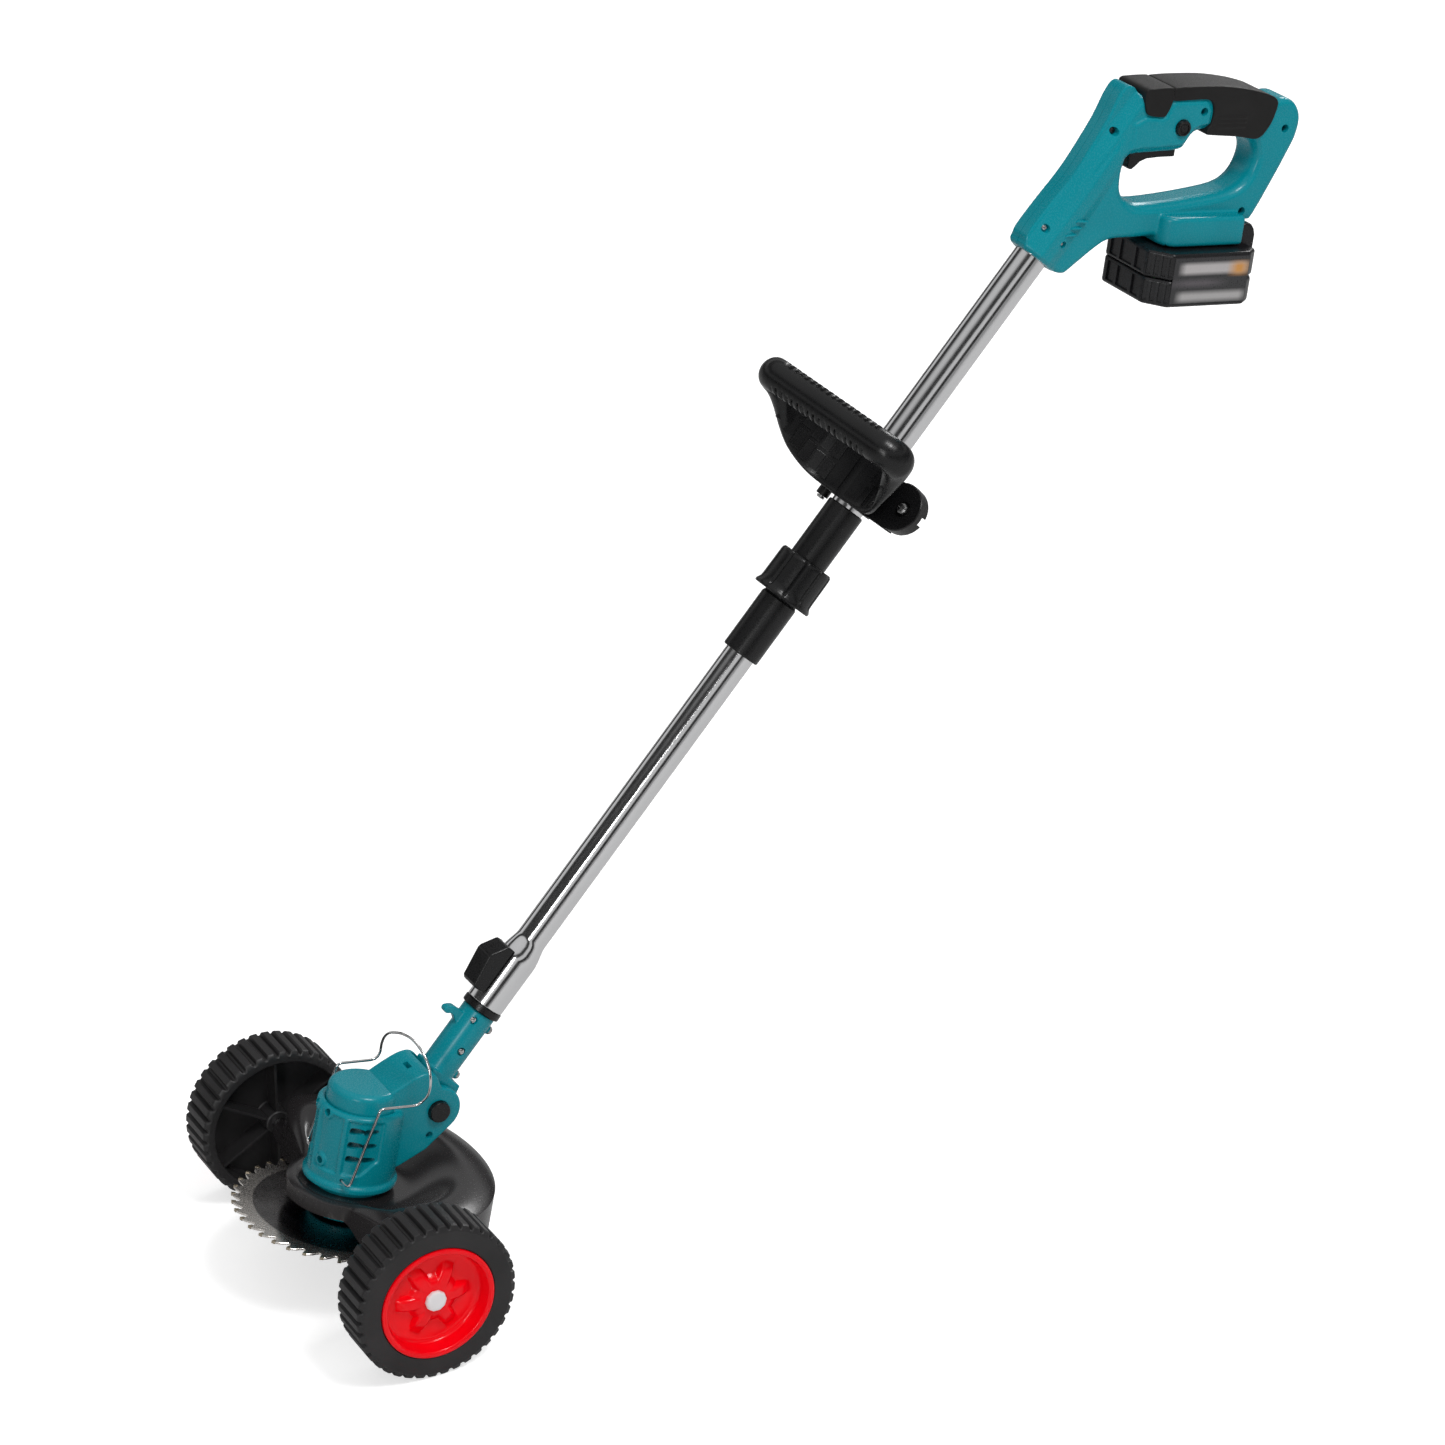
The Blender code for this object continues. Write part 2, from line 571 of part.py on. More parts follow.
def build_housing(frame):
    motor_bay = [(0, 20), (9, 20), (9, 33.2), (11.3, 33.2), (11.3, 42.5), (22.4, 42.5), (22.4, 86.2), (8.3, 86.2)]
    motor_bay += [(8.3, 91.6), (0, 91.6)]
    cuts = [
        to_object("cut_motor_bay", turned(motor_bay, 32), frame),
        to_object("cut_neck_slot", neck_clearance(), frame),
        to_object("cut_cable_way", block((-6, 6), (20, 44), (70, 92)), frame),
        to_object("cut_pivot_bore", rod(5.09, -30, 30, 24, "X", (0, PIVOT_Y, PIVOT_Z)), frame),
        to_object("cut_bolt_head", rod(8.3, -40, -22.0 + 0.2, 24, "X", (0, PIVOT_Y, PIVOT_Z)), frame),
        to_object("cut_button_seat", rod(9.0, 16.4, 40, 24, "X", (0, PIVOT_Y, PIVOT_Z)), frame),
        to_object("cut_lug_hole", rod(3.0, 17, 40, 16, "X", (0, 52.5, 73)), frame),
        to_object("cut_hump_slot", prism([(33, 121), (33, 135), (36.5, 135), (36.5, 121)], -4, 5.5), frame),
        to_object("cut_guard_hole", rod(1.5, -60, 60, 12, "X", (0, GUARD_Y, GUARD_Z)), frame),
    ]
    for row in range(3):
        height = 60.5 + 12.1 * row
        for y in (-15.5, -4.2):
            slot = block((-60, 60), (y - 4.4, y + 4.4), (height - 2.4, height + 2.4))
            cuts.append(to_object("cut_vent_%d_%d" % (row, int(y)), slot, frame))
    for side, sign in (("right", 1), ("left", -1)):
        shell = to_object(
            "motor_housing_" + side,
            block(sorted((sign * GAP, sign * 60)), (-60, 100), (10, 160)),
            frame,
            look=(TEAL, 0.38, 0.0),
        )
        boolean(shell, [housing_body("housing_" + side, frame)], "INTERSECT")
        cut(shell, *cuts)
    cap = [(0, LEDGE_Z - 1.7), (CAP_R, LEDGE_Z - 1.7), (CAP_R, CAP_TOP_Z - 5), (CAP_R - 1.5, CAP_TOP_Z - 1.5)]
    cap += [(CAP_R - 5, CAP_TOP_Z), (0, CAP_TOP_Z)]
    lid = to_object("motor_cap", turned(cap, 40), frame, look=(TEAL, 0.38, 0.0))
    under = to_object("cut_cap_hollow", rod(25.2, 80, CAP_TOP_Z - 3, 32), frame)
    yoke_room = to_object("cut_cap_yoke", prism(grown_yoke(), -CHEEK_X[1] - 0.3, CHEEK_X[1] + 0.3), frame)
    cut(lid, under, yoke_room)


def grown_yoke():
    return [(3.0, 90), (5.2, 104.4), (13.4, 113), (19, 130), (60, 130), (60, 90)]


def neck_clearance():
    """Slot between the cheeks, behind the hump, wide enough for the neck at every tilt."""
    outline = arc((PIVOT_Y, PIVOT_Z), 17.0, 180, 340, 12) + [(117, 74), (117, 200), (58, 200), (58, 150)]
    outline += [(48, 134), (42, 122), (38.5, 108)]
    return prism(outline, -CHEEK_X[0], CHEEK_X[0])


def build_motor(frame):
    can = to_object("motor_can", rod(22.0, 44.5, 86, 32), frame, look=(STEEL, 0.35, 1.0))
    cut(can, to_object("cut_can_shaft", rod(3.0, 20, 100, 20), frame))
    shaft = turned([(0, -9.0), (2.5, -9.0), (2.5, 91), (0, 91)], 20)
    to_object("motor_shaft", shaft, frame, look=(STEEL, 0.2, 1.0))
    lower = pipe(11.0, 2.56, 33.5, 40.5, 24)
    to_object("bearing_lower", lower, frame, look=(STEEL, 0.3, 1.0))
    upper = pipe(8.0, 2.56, 86.4, 91.4, 24)
    to_object("bearing_upper", upper, frame, look=(STEEL, 0.3, 1.0))
    collar = [
        (COLLAR_R - 3, 3.2), (COLLAR_R, 3.2), (COLLAR_R, 31.2), (11.3, 31.2), (11.3, 28.0), (COLLAR_R - 3, 28.0),
    ]
    to_object("lower_collar", turned(collar, 40), frame, look=(TEAL, 0.38, 0.0))
    flange = [(2.56, 1.1), (13.0, 1.1), (13.0, 4.0), (7.0, 7.0), (7.0, 12.0), (2.56, 12.0)]
    to_object("blade_flange", turned(flange, 24), frame, look=(STEEL, 0.3, 1.0))
    nut = [(2.56, -7.5), (6.5, -7.5), (6.5, -3.2), (12.0, -3.2), (12.0, -1.1), (2.56, -1.1)]
    to_object("blade_nut", turned(nut, 6 * 4), frame, look=(STEEL, 0.3, 1.0))
    build_blade(frame)


def build_blade(frame):
    outline = []
    pitch = 360.0 / BLADE_TEETH
    for tooth in range(BLADE_TEETH):
        start = pitch * tooth
        for turn, radius in ((0.0, BLADE_R), (0.30, BLADE_R - 1.4), (0.78, BLADE_R - 6.4), (0.92, BLADE_R - 6.0)):
            angle = math.radians(start + turn * pitch)
            outline.append((radius * math.cos(angle), radius * math.sin(angle)))
    blade = prism(outline, -BLADE_T / 2, BLADE_T / 2, "Z")
    disc = to_object("saw_blade", blade, frame, look=(STEEL, 0.25, 1.0))
    cut(disc, to_object("cut_blade_bore", rod(2.56, -5, 5, 20), frame))


# ---------------------------------------------------------------- shield

def smooth(low, high, value):
    t = min(1.0, max(0.0, (value - low) / (high - low)))
    return t * t * (3 - 2 * t)


def shield_section(angle, count):
    """Upper surface from the collar hole outwards, as (radius, height); angle 0 is the front, 180 the rear."""
    around = abs(angle)
    open_up = smooth(58, 92, around)
    reach = 49.0 + (118.0 - 49.0) * open_up**2 - 6.0 * smooth(115, 180, around)
    crest = 28.0 + 20.0 * smooth(66, 96, around)
    foot = 15.0 - 21.0 * smooth(60, 95, around)
    section = []
    for index in range(count):
        u = index / (count - 1)
        radius = 29.3 + (reach - 29.3) * min(1.0, u / 0.72) ** 0.9
        rise = 26.0 + (crest - 26.0) * smooth(0.10, 0.50, u)
        fall = max(0.0, (u - 0.42) / 0.58)
        height = foot + (rise - foot) * math.sqrt(max(0.0, 1.0 - fall**2.4))
        section.append((radius, height))
    return section


def thickened(section, wall):
    """The underside of a section, one wall thickness below it, walked back to the start."""
    under = []
    for index, (radius, height) in enumerate(section):
        before = section[max(index - 1, 0)]
        after = section[min(index + 1, len(section) - 1)]
        along = Vector((after[0] - before[0], after[1] - before[1])).normalized()
        under.append((radius + wall * along.y, height - wall * along.x))
    return under[::-1]


def build_shield(frame):
    """A moulded cover: a rolled ring in front of the collar, a dome behind and a fender arm to each wheel."""
    around, along = 48, 8
    bm = bmesh.new()
    rings = []
    for step in range(around):
        angle = 360.0 * step / around
        bearing = math.radians(angle)
        top = shield_section(angle if angle <= 180 else angle - 360, along)
        ring = []
        for radius, height in top + thickened(top, SHIELD_T):
            ring.append(bm.verts.new((radius * math.sin(bearing), -radius * math.cos(bearing), height)))
        rings.append(ring)
    for step in range(around):
        stitch(bm, rings[step], rings[(step + 1) % around])
    shield = to_object("blade_shield", bm, frame, look=((0.02, 0.02, 0.022), 0.3, 0.0))
    for side, sign in (("right", 1), ("left", -1)):
        centre = (0, AXLE_IN_HEAD[0], AXLE_IN_HEAD[1])
        room = rod(6.5, *sorted((sign * 97.0, sign * 140.0)), 20, "X", centre)
        boss = pipe(11.0, AXLE_R + 0.2, *sorted((sign * 103.0, sign * 119.0)), 20, "X", centre)
        cut(shield, to_object("cut_boss_" + side, room, frame))
        join(shield, to_object("join_boss_" + side, boss, frame))


# ---------------------------------------------------------------- wheels

def build_wheel(side, sign, frame):
    """Lugged wheel, hollow behind with six ribs; a red rim insert in front; and the fixed axle bolt."""
    bm = bmesh.new()
    rings = []
    stations = (
        (WHEEL_INNER_X, False), (WHEEL_INNER_X + 2.2, True), (WHEEL_OUTER_X - 2.2, True), (WHEEL_OUTER_X, False),
    )
    pitch = 360.0 / WHEEL_LUGS
    for x, lugged in stations:
        ring = []
        for lug in range(WHEEL_LUGS):
            for turn, tip in ((0.08, True), (0.62, True), (0.72, False), (0.98, False)):
                radius = WHEEL_R if lugged and tip else WHEEL_ROOT_R
                angle = math.radians((lug + turn) * pitch)
                ring.append(bm.verts.new((sign * x, radius * math.cos(angle), radius * math.sin(angle))))
        rings.append(ring)
    for first, second in zip(rings, rings[1:]):
        stitch(bm, first, second)
    bm.faces.new(rings[0])
    bm.faces.new(rings[-1])
    wheel = to_object("wheel_" + side, bm, frame, look=(CHARCOAL, 0.65, 0.0))
    recess = rod(RIM_R, *sorted((sign * WHEEL_WEB_X[1], sign * 190)), 40, "X")
    cutters = [to_object("cut_recess_" + side, recess, frame)]
    for index in range(6):
        outline = arc((0, 0), CAVITY_R, 60 * index + 2, 60 * index + 58, 5)
        outline += arc((0, 0), 10.0, 60 * index + 46, 60 * index + 14, 2)
        pocket = prism(outline, *sorted((sign * 100, sign * WHEEL_WEB_X[0])))
        cutters.append(to_object("cut_pocket_%s_%d" % (side, index), pocket, frame))
    face = to_object("cut_hub_face_" + side, rod(11.5, *sorted((sign * 100, sign * 132.0)), 20, "X"), frame)
    bore = to_object("cut_wheel_bore_" + side, rod(WHEEL_BORE_R, *sorted((sign * 90, sign * 190)), 20, "X"), frame)
    cut(wheel, face, bore, *cutters)

    back = WHEEL_WEB_X[1] + 0.3
    rim = [(WHEEL_BORE_R, back), (RIM_R - 0.3, back), (RIM_R - 0.3, 170.6), (RIM_R - 4.5, 170.6), (RIM_R - 6.0, 156.5)]
    rim += [(WHEEL_BORE_R, 156.5)]
    hub = to_object("hub_" + side, turned([(r, sign * x) for r, x in rim], 40, "X"), frame, look=(RED, 0.3, 0.0))
    star = []
    for lobe in range(6):
        start = 60.0 * lobe
        star += arc((0, 0), 27.0, start - 11, start + 11, 3)
        star += arc((0, 0), 16.5, start + 20, start + 40, 2)
    boss = prism(star, *sorted((sign * 155.5, sign * 162.5)))
    join(hub, to_object("join_star_" + side, boss, frame))
    cut(hub, to_object("cut_hub_bore_" + side, rod(WHEEL_BORE_R, *sorted((sign * 90, sign * 190)), 20, "X"), frame))
    axle = [
        (0, 100.0), (AXLE_R, 100.0), (AXLE_R, 119.4), (7.5, 119.4), (7.5, 126.0), (AXLE_R, 126.0),
        (AXLE_R, 162.9), (8.8, 162.9), (8.8, 166.2), (7.6, 167.4), (0, 167.4),
    ]
    bolt = turned([(r, sign * x) for r, x in axle], 24, "X")
    to_object("axle_bolt_" + side, bolt, frame, look=(STEEL, 0.25, 1.0))


# ---------------------------------------------------------------- wire guard and loop handle

def build_guard(frame):
    """Sprung wire guard: it pivots in the housing and arches, a little lopsided, behind the motor cap."""
    leg, reach = 40.0, 34.0
    foot = [(reach - 6, GUARD_Y, GUARD_Z), (reach + 3, GUARD_Y, GUARD_Z), (leg, GUARD_Y + 1.5, GUARD_Z + 3)]
    foot += [(leg, -4.5, 107), (leg, -2.0, 109), (leg, 26, 110)]
    arch = [
        (40.5, 30, 113), (44, 32, 120), (46, 32, 129), (44, 31, 139), (36.5, 28.5, 150), (24, 24, 157.5), (12, 21.5, 157.5),
        (0, 21.5, 153.5), (-14, 22, 146.5), (-26, 25, 137), (-34, 28, 127), (-38.5, 30.5, 118), (-40, 30, 113),
    ]
    path = foot + arch + [(-x, y, z) for x, y, z in reversed(foot)]
    wire("wire_guard", path, 1.1, frame, (STEEL, 0.15, 1.0), (0, GUARD_Y, GUARD_Z))


def loop_path():
    """Centre line of the loop in (x, y) of the loop frame: base at the collar, legs spreading to the grip bar."""
    half = [(6, -17), (20, -17.5), (33, -23), (46, -35), (57, -50), (65.5, -63)]
    corner = arc((56, -76), 14, 10, -80, 4)
    right = half + corner
    return right + [(-x, y) for x, y in reversed(right)]


def build_loop_handle(frame):
    """Loop handle clamped round the pole by a hinged jaw, a hinge pin and one screw."""
    centre_s = 531.5
    path = loop_path()
    bm = bmesh.new()
    rings = []
    for index, (x, y) in enumerate(path):
        before = Vector(path[max(index - 1, 0)])
        after = Vector(path[min(index + 1, len(path) - 1)])
        along = (after - before).normalized()
        side = Vector((along.y, -along.x))
        grip = smooth(40, 78, -y)
        half_wide = 21.5 + (12.5 - 21.5) * grip
        half_thick = 3.2 + (11.4 - 3.2) * grip
        lift = centre_s + 26.0 * smooth(15, 88, -y)
        ring = []
        for step in range(12):
            angle = 2 * math.pi * step / 12
            power = 0.55 + 0.45 * grip
            across = math.copysign(abs(math.cos(angle)) ** power, math.cos(angle)) * half_thick
            height = math.copysign(abs(math.sin(angle)) ** power, math.sin(angle)) * half_wide
            ring.append(bm.verts.new((x + side.x * across, y + side.y * across, lift + height)))
        rings.append(ring)
    for first, second in zip(rings, rings[1:]):
        stitch(bm, first, second)
    bm.faces.new(rings[0])
    bm.faces.new(rings[-1])
    loop = to_object("loop_handle", bm, frame, (0, 0, centre_s), (BLACK, 0.5, 0.0))
    low, high = centre_s - 21.5, centre_s + 18.5
    half_collar = prism(arc((0, 0), 19.5, 180, 360, 14), low, high, "Z")
    ear = prism([(14, -7), (44, -7), (44, -0.3), (14, -0.3)], low + 0.5, high - 0.5, "Z")
    tip = turned([(0, -7), (20, -7), (20, -0.3), (0, -0.3)], 28, "Y", (44, 0, centre_s))
    knuckle = rod(5.4, low - 6, high - 1.5, 20, "Z", (-26, -1, 0))
    bridge = block((-28, -14), (-7, -3.2), (low + 1, high - 2.5))
    shapes = (("collar", half_collar), ("ear", ear), ("tip", tip), ("bridge", bridge), ("knuckle", knuckle))
    join(loop, *(to_object("join_loop_" + label, shape, frame) for label, shape in shapes))
    pin_bore = to_object("cut_pin_bore", rod(2.05, 480, 580, 16, "Z", (-26, -1, 0)), frame)
    screw_bore = to_object("cut_clamp_bore", rod(2.6, -60, 60, 16, "Y", (49, 0, centre_s)), frame)
    tube_bore = to_object("cut_loop_bore", rod(TUBE_TOP_R + 0.25, 480, 580, 32), frame)
    middle = to_object("cut_knuckle_gap", rod(6.3, low + 10, high - 12, 20, "Z", (-26, -1, 0)), frame)
    cut(loop, tube_bore, screw_bore, middle, pin_bore)

    jaw = to_object(
        "clamp_jaw", prism(arc((0, 0), 19.5, 1, 179, 14), low, high, "Z"), frame, (-26, -1, centre_s), (BLACK, 0.5, 0.0)
    )
    jaw_ear = block((14, 44), (0.45, 6.5), (low + 0.5, high - 0.5))
    jaw_tip = turned([(0, 0.45), (19.5, 0.45), (19.5, 6.5), (0, 6.5)], 28, "Y", (44, 0, centre_s))
    jaw_knuckle = rod(5.4, low + 10.4, high - 12.4, 20, "Z", (-26, -1, 0))
    jaw_bridge = block((-26, -15), (0.45, 3.9), (low + 11, high - 13))
    shapes = (("ear", jaw_ear), ("tip", jaw_tip), ("bridge", jaw_bridge), ("knuckle", jaw_knuckle))
    join(jaw, *(to_object("join_jaw_" + label, shape, frame) for label, shape in shapes))
    slot = to_object("cut_jaw_slot", block((45.5, 80), (-10, 20), (centre_s - 3.4, centre_s + 3.4)), frame)
    cut(jaw, tube_bore, pin_bore, slot)
    pin = turned([(0, low - 8.5), (3.4, low - 8.5), (3.4, low - 6.3), (2.0, low - 6.3), (2.0, high + 1), (0, high + 1)], 16)
    bmesh.ops.translate(pin, verts=pin.verts, vec=(-26, -1, 0))
    to_object("clamp_pin", pin, frame, look=(STEEL, 0.25, 1.0))
    shank = [(0, -10.4), (4.4, -10.4), (4.4, -7.3), (2.2, -7.3), (2.2, 6.0), (0, 6.0)]
    screw = turned(shank, 16, "Y", (49, 0, centre_s))
    to_object("clamp_screw", screw, frame, look=(STEEL, 0.25, 1.0))


def build_cables(pole):
    """Power leads inside the tubes, side by side so that they pass each other when the pole is shortened."""
    upper = [(0, -5, s) for s in (560, 640, 720, 790)]
    wire("power_lead_upper", upper, 2.0, pole, (BLACK, 0.5, 0.0))
    lower = [(-3.4, 4, s) for s in (-28, 60, 160, 260, 360, 440)]
    wire("power_lead_lower", lower, 2.0, pole, (BLACK, 0.5, 0.0))


def main():
    clear_scene()
    tool = local_frame("tool", AXLE_Y, 0.0, 0.0)
    handle = local_frame("handle_frame", HANDLE_BACK, HANDLE_Z, HANDLE_TILT, tool)
    pole = local_frame("pole_frame", POLE_BACK, POLE_Z, POLE_PITCH - 90.0, tool)
    loop = local_frame("loop_frame", 0.0, 0.0, 0.0, pole, LOOP_TURN)
    head = local_frame("head_frame", HEAD_BACK, HEAD_Z, HEAD_TILT, tool)
    axle = local_frame("axle_frame", 0.0, AXLE_Z, 0.0, tool)
    build_handle(handle)
    build_grip(handle)
    build_trigger_group(handle)
    build_battery(handle)
    build_pole(pole)
    build_neck(pole)
    build_pivot(head)
    build_housing(head)
    build_motor(head)
    build_shield(head)
    for side, sign in (("right", 1), ("left", -1)):
        build_wheel(side, sign, axle)
    build_guard(head)
    build_loop_handle(loop)
    build_cables(pole)


main()
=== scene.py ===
"""Looks of the cordless lawn edger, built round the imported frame.

Each piece is modelled in millimetres in a local frame of the tool and rides on its CAD body. The frames come
from the record's joints and mount: the handle (y back along the battery, z up), the pole (z up the pole,
y back and down), the loop handle (the pole frame turned about the pole), the head (z up the motor shaft)
and the axle.
"""

import json
import math

import bmesh
import bpy
from mathutils import Matrix, Vector


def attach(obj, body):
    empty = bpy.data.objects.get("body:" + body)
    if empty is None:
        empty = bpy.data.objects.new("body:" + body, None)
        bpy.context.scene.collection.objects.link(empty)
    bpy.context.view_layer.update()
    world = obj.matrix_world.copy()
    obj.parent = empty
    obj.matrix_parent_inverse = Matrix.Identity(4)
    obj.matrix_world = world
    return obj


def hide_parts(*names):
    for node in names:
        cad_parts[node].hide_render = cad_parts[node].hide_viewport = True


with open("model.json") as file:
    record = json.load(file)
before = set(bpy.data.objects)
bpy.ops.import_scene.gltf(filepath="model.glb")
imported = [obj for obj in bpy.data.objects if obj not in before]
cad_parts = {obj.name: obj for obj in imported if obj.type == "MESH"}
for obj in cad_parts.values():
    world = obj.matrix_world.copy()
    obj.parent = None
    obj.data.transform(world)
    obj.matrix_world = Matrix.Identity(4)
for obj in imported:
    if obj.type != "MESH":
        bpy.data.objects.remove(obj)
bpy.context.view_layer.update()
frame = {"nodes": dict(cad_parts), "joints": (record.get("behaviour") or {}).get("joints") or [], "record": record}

MM = 0.001
JOINTS = {joint["name"]: joint for joint in frame["joints"]}
HIDDEN = []  # helper objects, deleted once the modifiers that use them are applied


# ---------------------------------------------------------------- local frames

def joint_axis(name):
    return Vector(JOINTS[name]["axis"]).normalized()


def joint_point(name):
    return Vector(JOINTS[name]["pos_m"])


def placement(origin, x, y, z):
    made = Matrix((x, y, z)).transposed().to_4x4()
    made.translation = origin
    return made


def make_frames():
    right = Vector((1, 0, 0))
    along = joint_axis("pole_telescope")
    inward = joint_axis("head_release_press")
    pole = placement(joint_point("neck_swivel") - 0.040 * along, right, inward, along)
    spin = joint_axis("blade_spin")
    head = placement(joint_point("blade_spin"), right, spin.cross(right), spin)
    back, up = joint_axis("battery_slide"), joint_axis("trigger_pull")
    base = Vector(frame["record"]["mounts"][0]["pos_m"]) - 0.049 * back
    handle = placement(base, right, back, up)
    pin = pole.inverted() @ joint_point("jaw_open")
    turn = math.atan2(pin.y, pin.x) - math.atan2(-1, -26)
    loop = pole @ Matrix.Rotation(turn, 4, "Z")
    axle_point = joint_point("wheel_spin_right")
    axle = Matrix.Translation((0, axle_point.y, axle_point.z))
    return {"pole": pole, "head": head, "handle": handle, "loop": loop, "axle": axle}


FRAMES = make_frames()


# ---------------------------------------------------------------- materials

def node(tree, kind, **inputs):
    made = tree.nodes.new(kind)
    for name, value in inputs.items():
        made.inputs[name.replace("_", " ")].default_value = value
    return made


def noise(tree, coordinates, scale, detail=2.0, stretch=None):
    """A noise texture in the piece's own coordinates, optionally stretched along an axis."""
    if stretch:
        mapping = node(tree, "ShaderNodeMapping", Scale=stretch)
        tree.links.new(coordinates, mapping.inputs["Vector"])
        coordinates = mapping.outputs["Vector"]
    made = node(tree, "ShaderNodeTexNoise", Scale=scale, Detail=detail)
    tree.links.new(coordinates, made.inputs["Vector"])
    return made.outputs["Fac"]


def mapped(tree, value, low, high, start=0.3, end=0.7):
    made = node(tree, "ShaderNodeMapRange", From_Min=start, From_Max=end, To_Min=low, To_Max=high)
    tree.links.new(value, made.inputs["Value"])
    return made.outputs["Result"]


def mixed(tree, factor, first, second):
    made = tree.nodes.new("ShaderNodeMix")
    made.data_type = "RGBA"
    made.inputs["A"].default_value = (*first, 1.0)
    made.inputs["B"].default_value = (*second, 1.0)
    tree.links.new(factor, made.inputs["Factor"])
    return made.outputs["Result"]


def surface(name, colour, second, rough, metal=0.0, grain=900.0, depth=0.03, patch=25.0, stretch=None,
            coat=0.0,
            shine=0.5):
    """A moulded or metal surface: colour patches, uneven roughness and a fine grain."""
    made = bpy.data.materials.new(name)
    made.use_nodes = True
    tree = made.node_tree
    shader = tree.nodes["Principled BSDF"]
    shader.inputs["Metallic"].default_value = metal
    shader.inputs["Coat Weight"].default_value = coat
    shader.inputs["Coat Roughness"].default_value = 0.08
    shader.inputs["Specular IOR Level"].default_value = shine
    place = tree.nodes.new("ShaderNodeTexCoord").outputs["Object"]
    patches = noise(tree, place, patch, 3.0)
    tree.links.new(mixed(tree, mapped(tree, patches, 0, 1), colour, second), shader.inputs["Base Color"])
    fine = noise(tree, place, grain, 2.0, stretch)
    tree.links.new(mapped(tree, fine, rough[0], rough[1]), shader.inputs["Roughness"])
    bump = node(tree, "ShaderNodeBump", Strength=0.4, Distance=depth * MM)
    tree.links.new(fine, bump.inputs["Height"])
    tree.links.new(bump.outputs["Normal"], shader.inputs["Normal"])
    made.diffuse_color = (*colour, 1.0)
    return made


LOOKS = {
    "teal": surface("teal_plastic", (0.0, 0.25, 0.31), (0.0, 0.27, 0.33), (0.20, 0.32), depth=0.015,
                    shine=0.34),
    "black": surface("black_plastic", (0.004, 0.004, 0.0045), (0.007, 0.007, 0.0075), (0.22, 0.36),
                     depth=0.04, shine=0.4),
    "battery": surface("battery_plastic", (0.006, 0.006, 0.007), (0.010, 0.010, 0.012), (0.24, 0.4),
                       depth=0.05, shine=0.42),
    "gloss": surface("shield_plastic", (0.016, 0.0145, 0.015), (0.022, 0.020, 0.021), (0.16, 0.28),
                     depth=0.02),
    "rubber": surface("soft_grip", (0.010, 0.0095, 0.0095), (0.015, 0.0145, 0.0145), (0.42, 0.6),
                      grain=1500, depth=0.06,
                      shine=0.25),
    "tyre": surface("wheel_rubber", (0.015, 0.0145, 0.015), (0.024, 0.023, 0.024), (0.34, 0.5), grain=1200,
                    depth=0.08,
                    shine=0.42),
    "red": surface("hub_plastic", (0.95, 0.0, 0.006), (1.0, 0.001, 0.009), (0.14, 0.24), depth=0.01,
                   coat=0.1, shine=0.25),
    "tube": surface("polished_tube", (0.86, 0.86, 0.87), (0.80, 0.80, 0.81), (0.07, 0.16), 1.0, 500, 0.004,
                    8, (9, 9, 0.3)),
    "steel": surface("zinc_steel", (0.62, 0.62, 0.62), (0.50, 0.50, 0.50), (0.2, 0.36), 1.0, depth=0.02),
    "chrome": surface("chrome_wire", (0.80, 0.80, 0.80), (0.70, 0.70, 0.70), (0.06, 0.14), 1.0, depth=0.004),
    "brass": surface("tip_brass", (0.50, 0.44, 0.34), (0.42, 0.36, 0.27), (0.25, 0.4), 1.0, depth=0.02),
    "dark": surface("dark_steel", (0.06, 0.06, 0.06), (0.09, 0.09, 0.09), (0.3, 0.45), 1.0, depth=0.02),
    "cap": surface("cap_plastic", (0.80, 0.79, 0.80), (0.88, 0.87, 0.88), (0.3, 0.45), depth=0.05),
    "nylon": surface("nylon", (0.45, 0.45, 0.42), (0.5, 0.5, 0.47), (0.4, 0.55)),
    "cells": surface("cell_wrap", (0.05, 0.2, 0.07), (0.07, 0.24, 0.09), (0.3, 0.4)),
}


def blade_look():
    """Dark polished plate with a paler ground rim behind the teeth, with fine rings and a radial sheen."""
    made = surface("blade_steel", (0.27, 0.26, 0.26), (0.21, 0.20, 0.20), (0.20, 0.32), 1.0, depth=0.006)
    tree = made.node_tree
    shader = tree.nodes["Principled BSDF"]
    place = tree.nodes.new("ShaderNodeTexCoord").outputs["Object"]
    distance = tree.nodes.new("ShaderNodeVectorMath")
    distance.operation = "LENGTH"
    tree.links.new(place, distance.inputs[0])
    rim = mapped(tree, distance.outputs["Value"], 0.0, 1.0, 0.0715, 0.0725)
    plate = shader.inputs["Base Color"].links[0].from_socket
    ground = tree.nodes.new("ShaderNodeMix")
    ground.data_type = "RGBA"
    ground.inputs["B"].default_value = (0.78, 0.74, 0.70, 1.0)
    tree.links.new(rim, ground.inputs["Factor"])
    tree.links.new(plate, ground.inputs["A"])
    tree.links.new(ground.outputs["Result"], shader.inputs["Base Color"])
    rings = node(tree, "ShaderNodeTexWave", Scale=260.0, Distortion=0.6, Detail=1.0)
    rings.wave_type = "RINGS"
    rings.rings_direction = "Z"
    tree.links.new(place, rings.inputs["Vector"])
    bump = node(tree, "ShaderNodeBump", Strength=0.2, Distance=0.006 * MM)
    tree.links.new(rings.outputs["Fac"], bump.inputs["Height"])
    tree.links.new(bump.outputs["Normal"], shader.inputs["Normal"])
    shader.inputs["Anisotropic"].default_value = 0.8
    tangent = tree.nodes.new("ShaderNodeTangent")
    tangent.direction_type = "RADIAL"
    tangent.axis = "Z"
    tree.links.new(tangent.outputs["Tangent"], shader.inputs["Tangent"])
    return made


LOOKS["blade"] = blade_look()


# ---------------------------------------------------------------- modelling tools

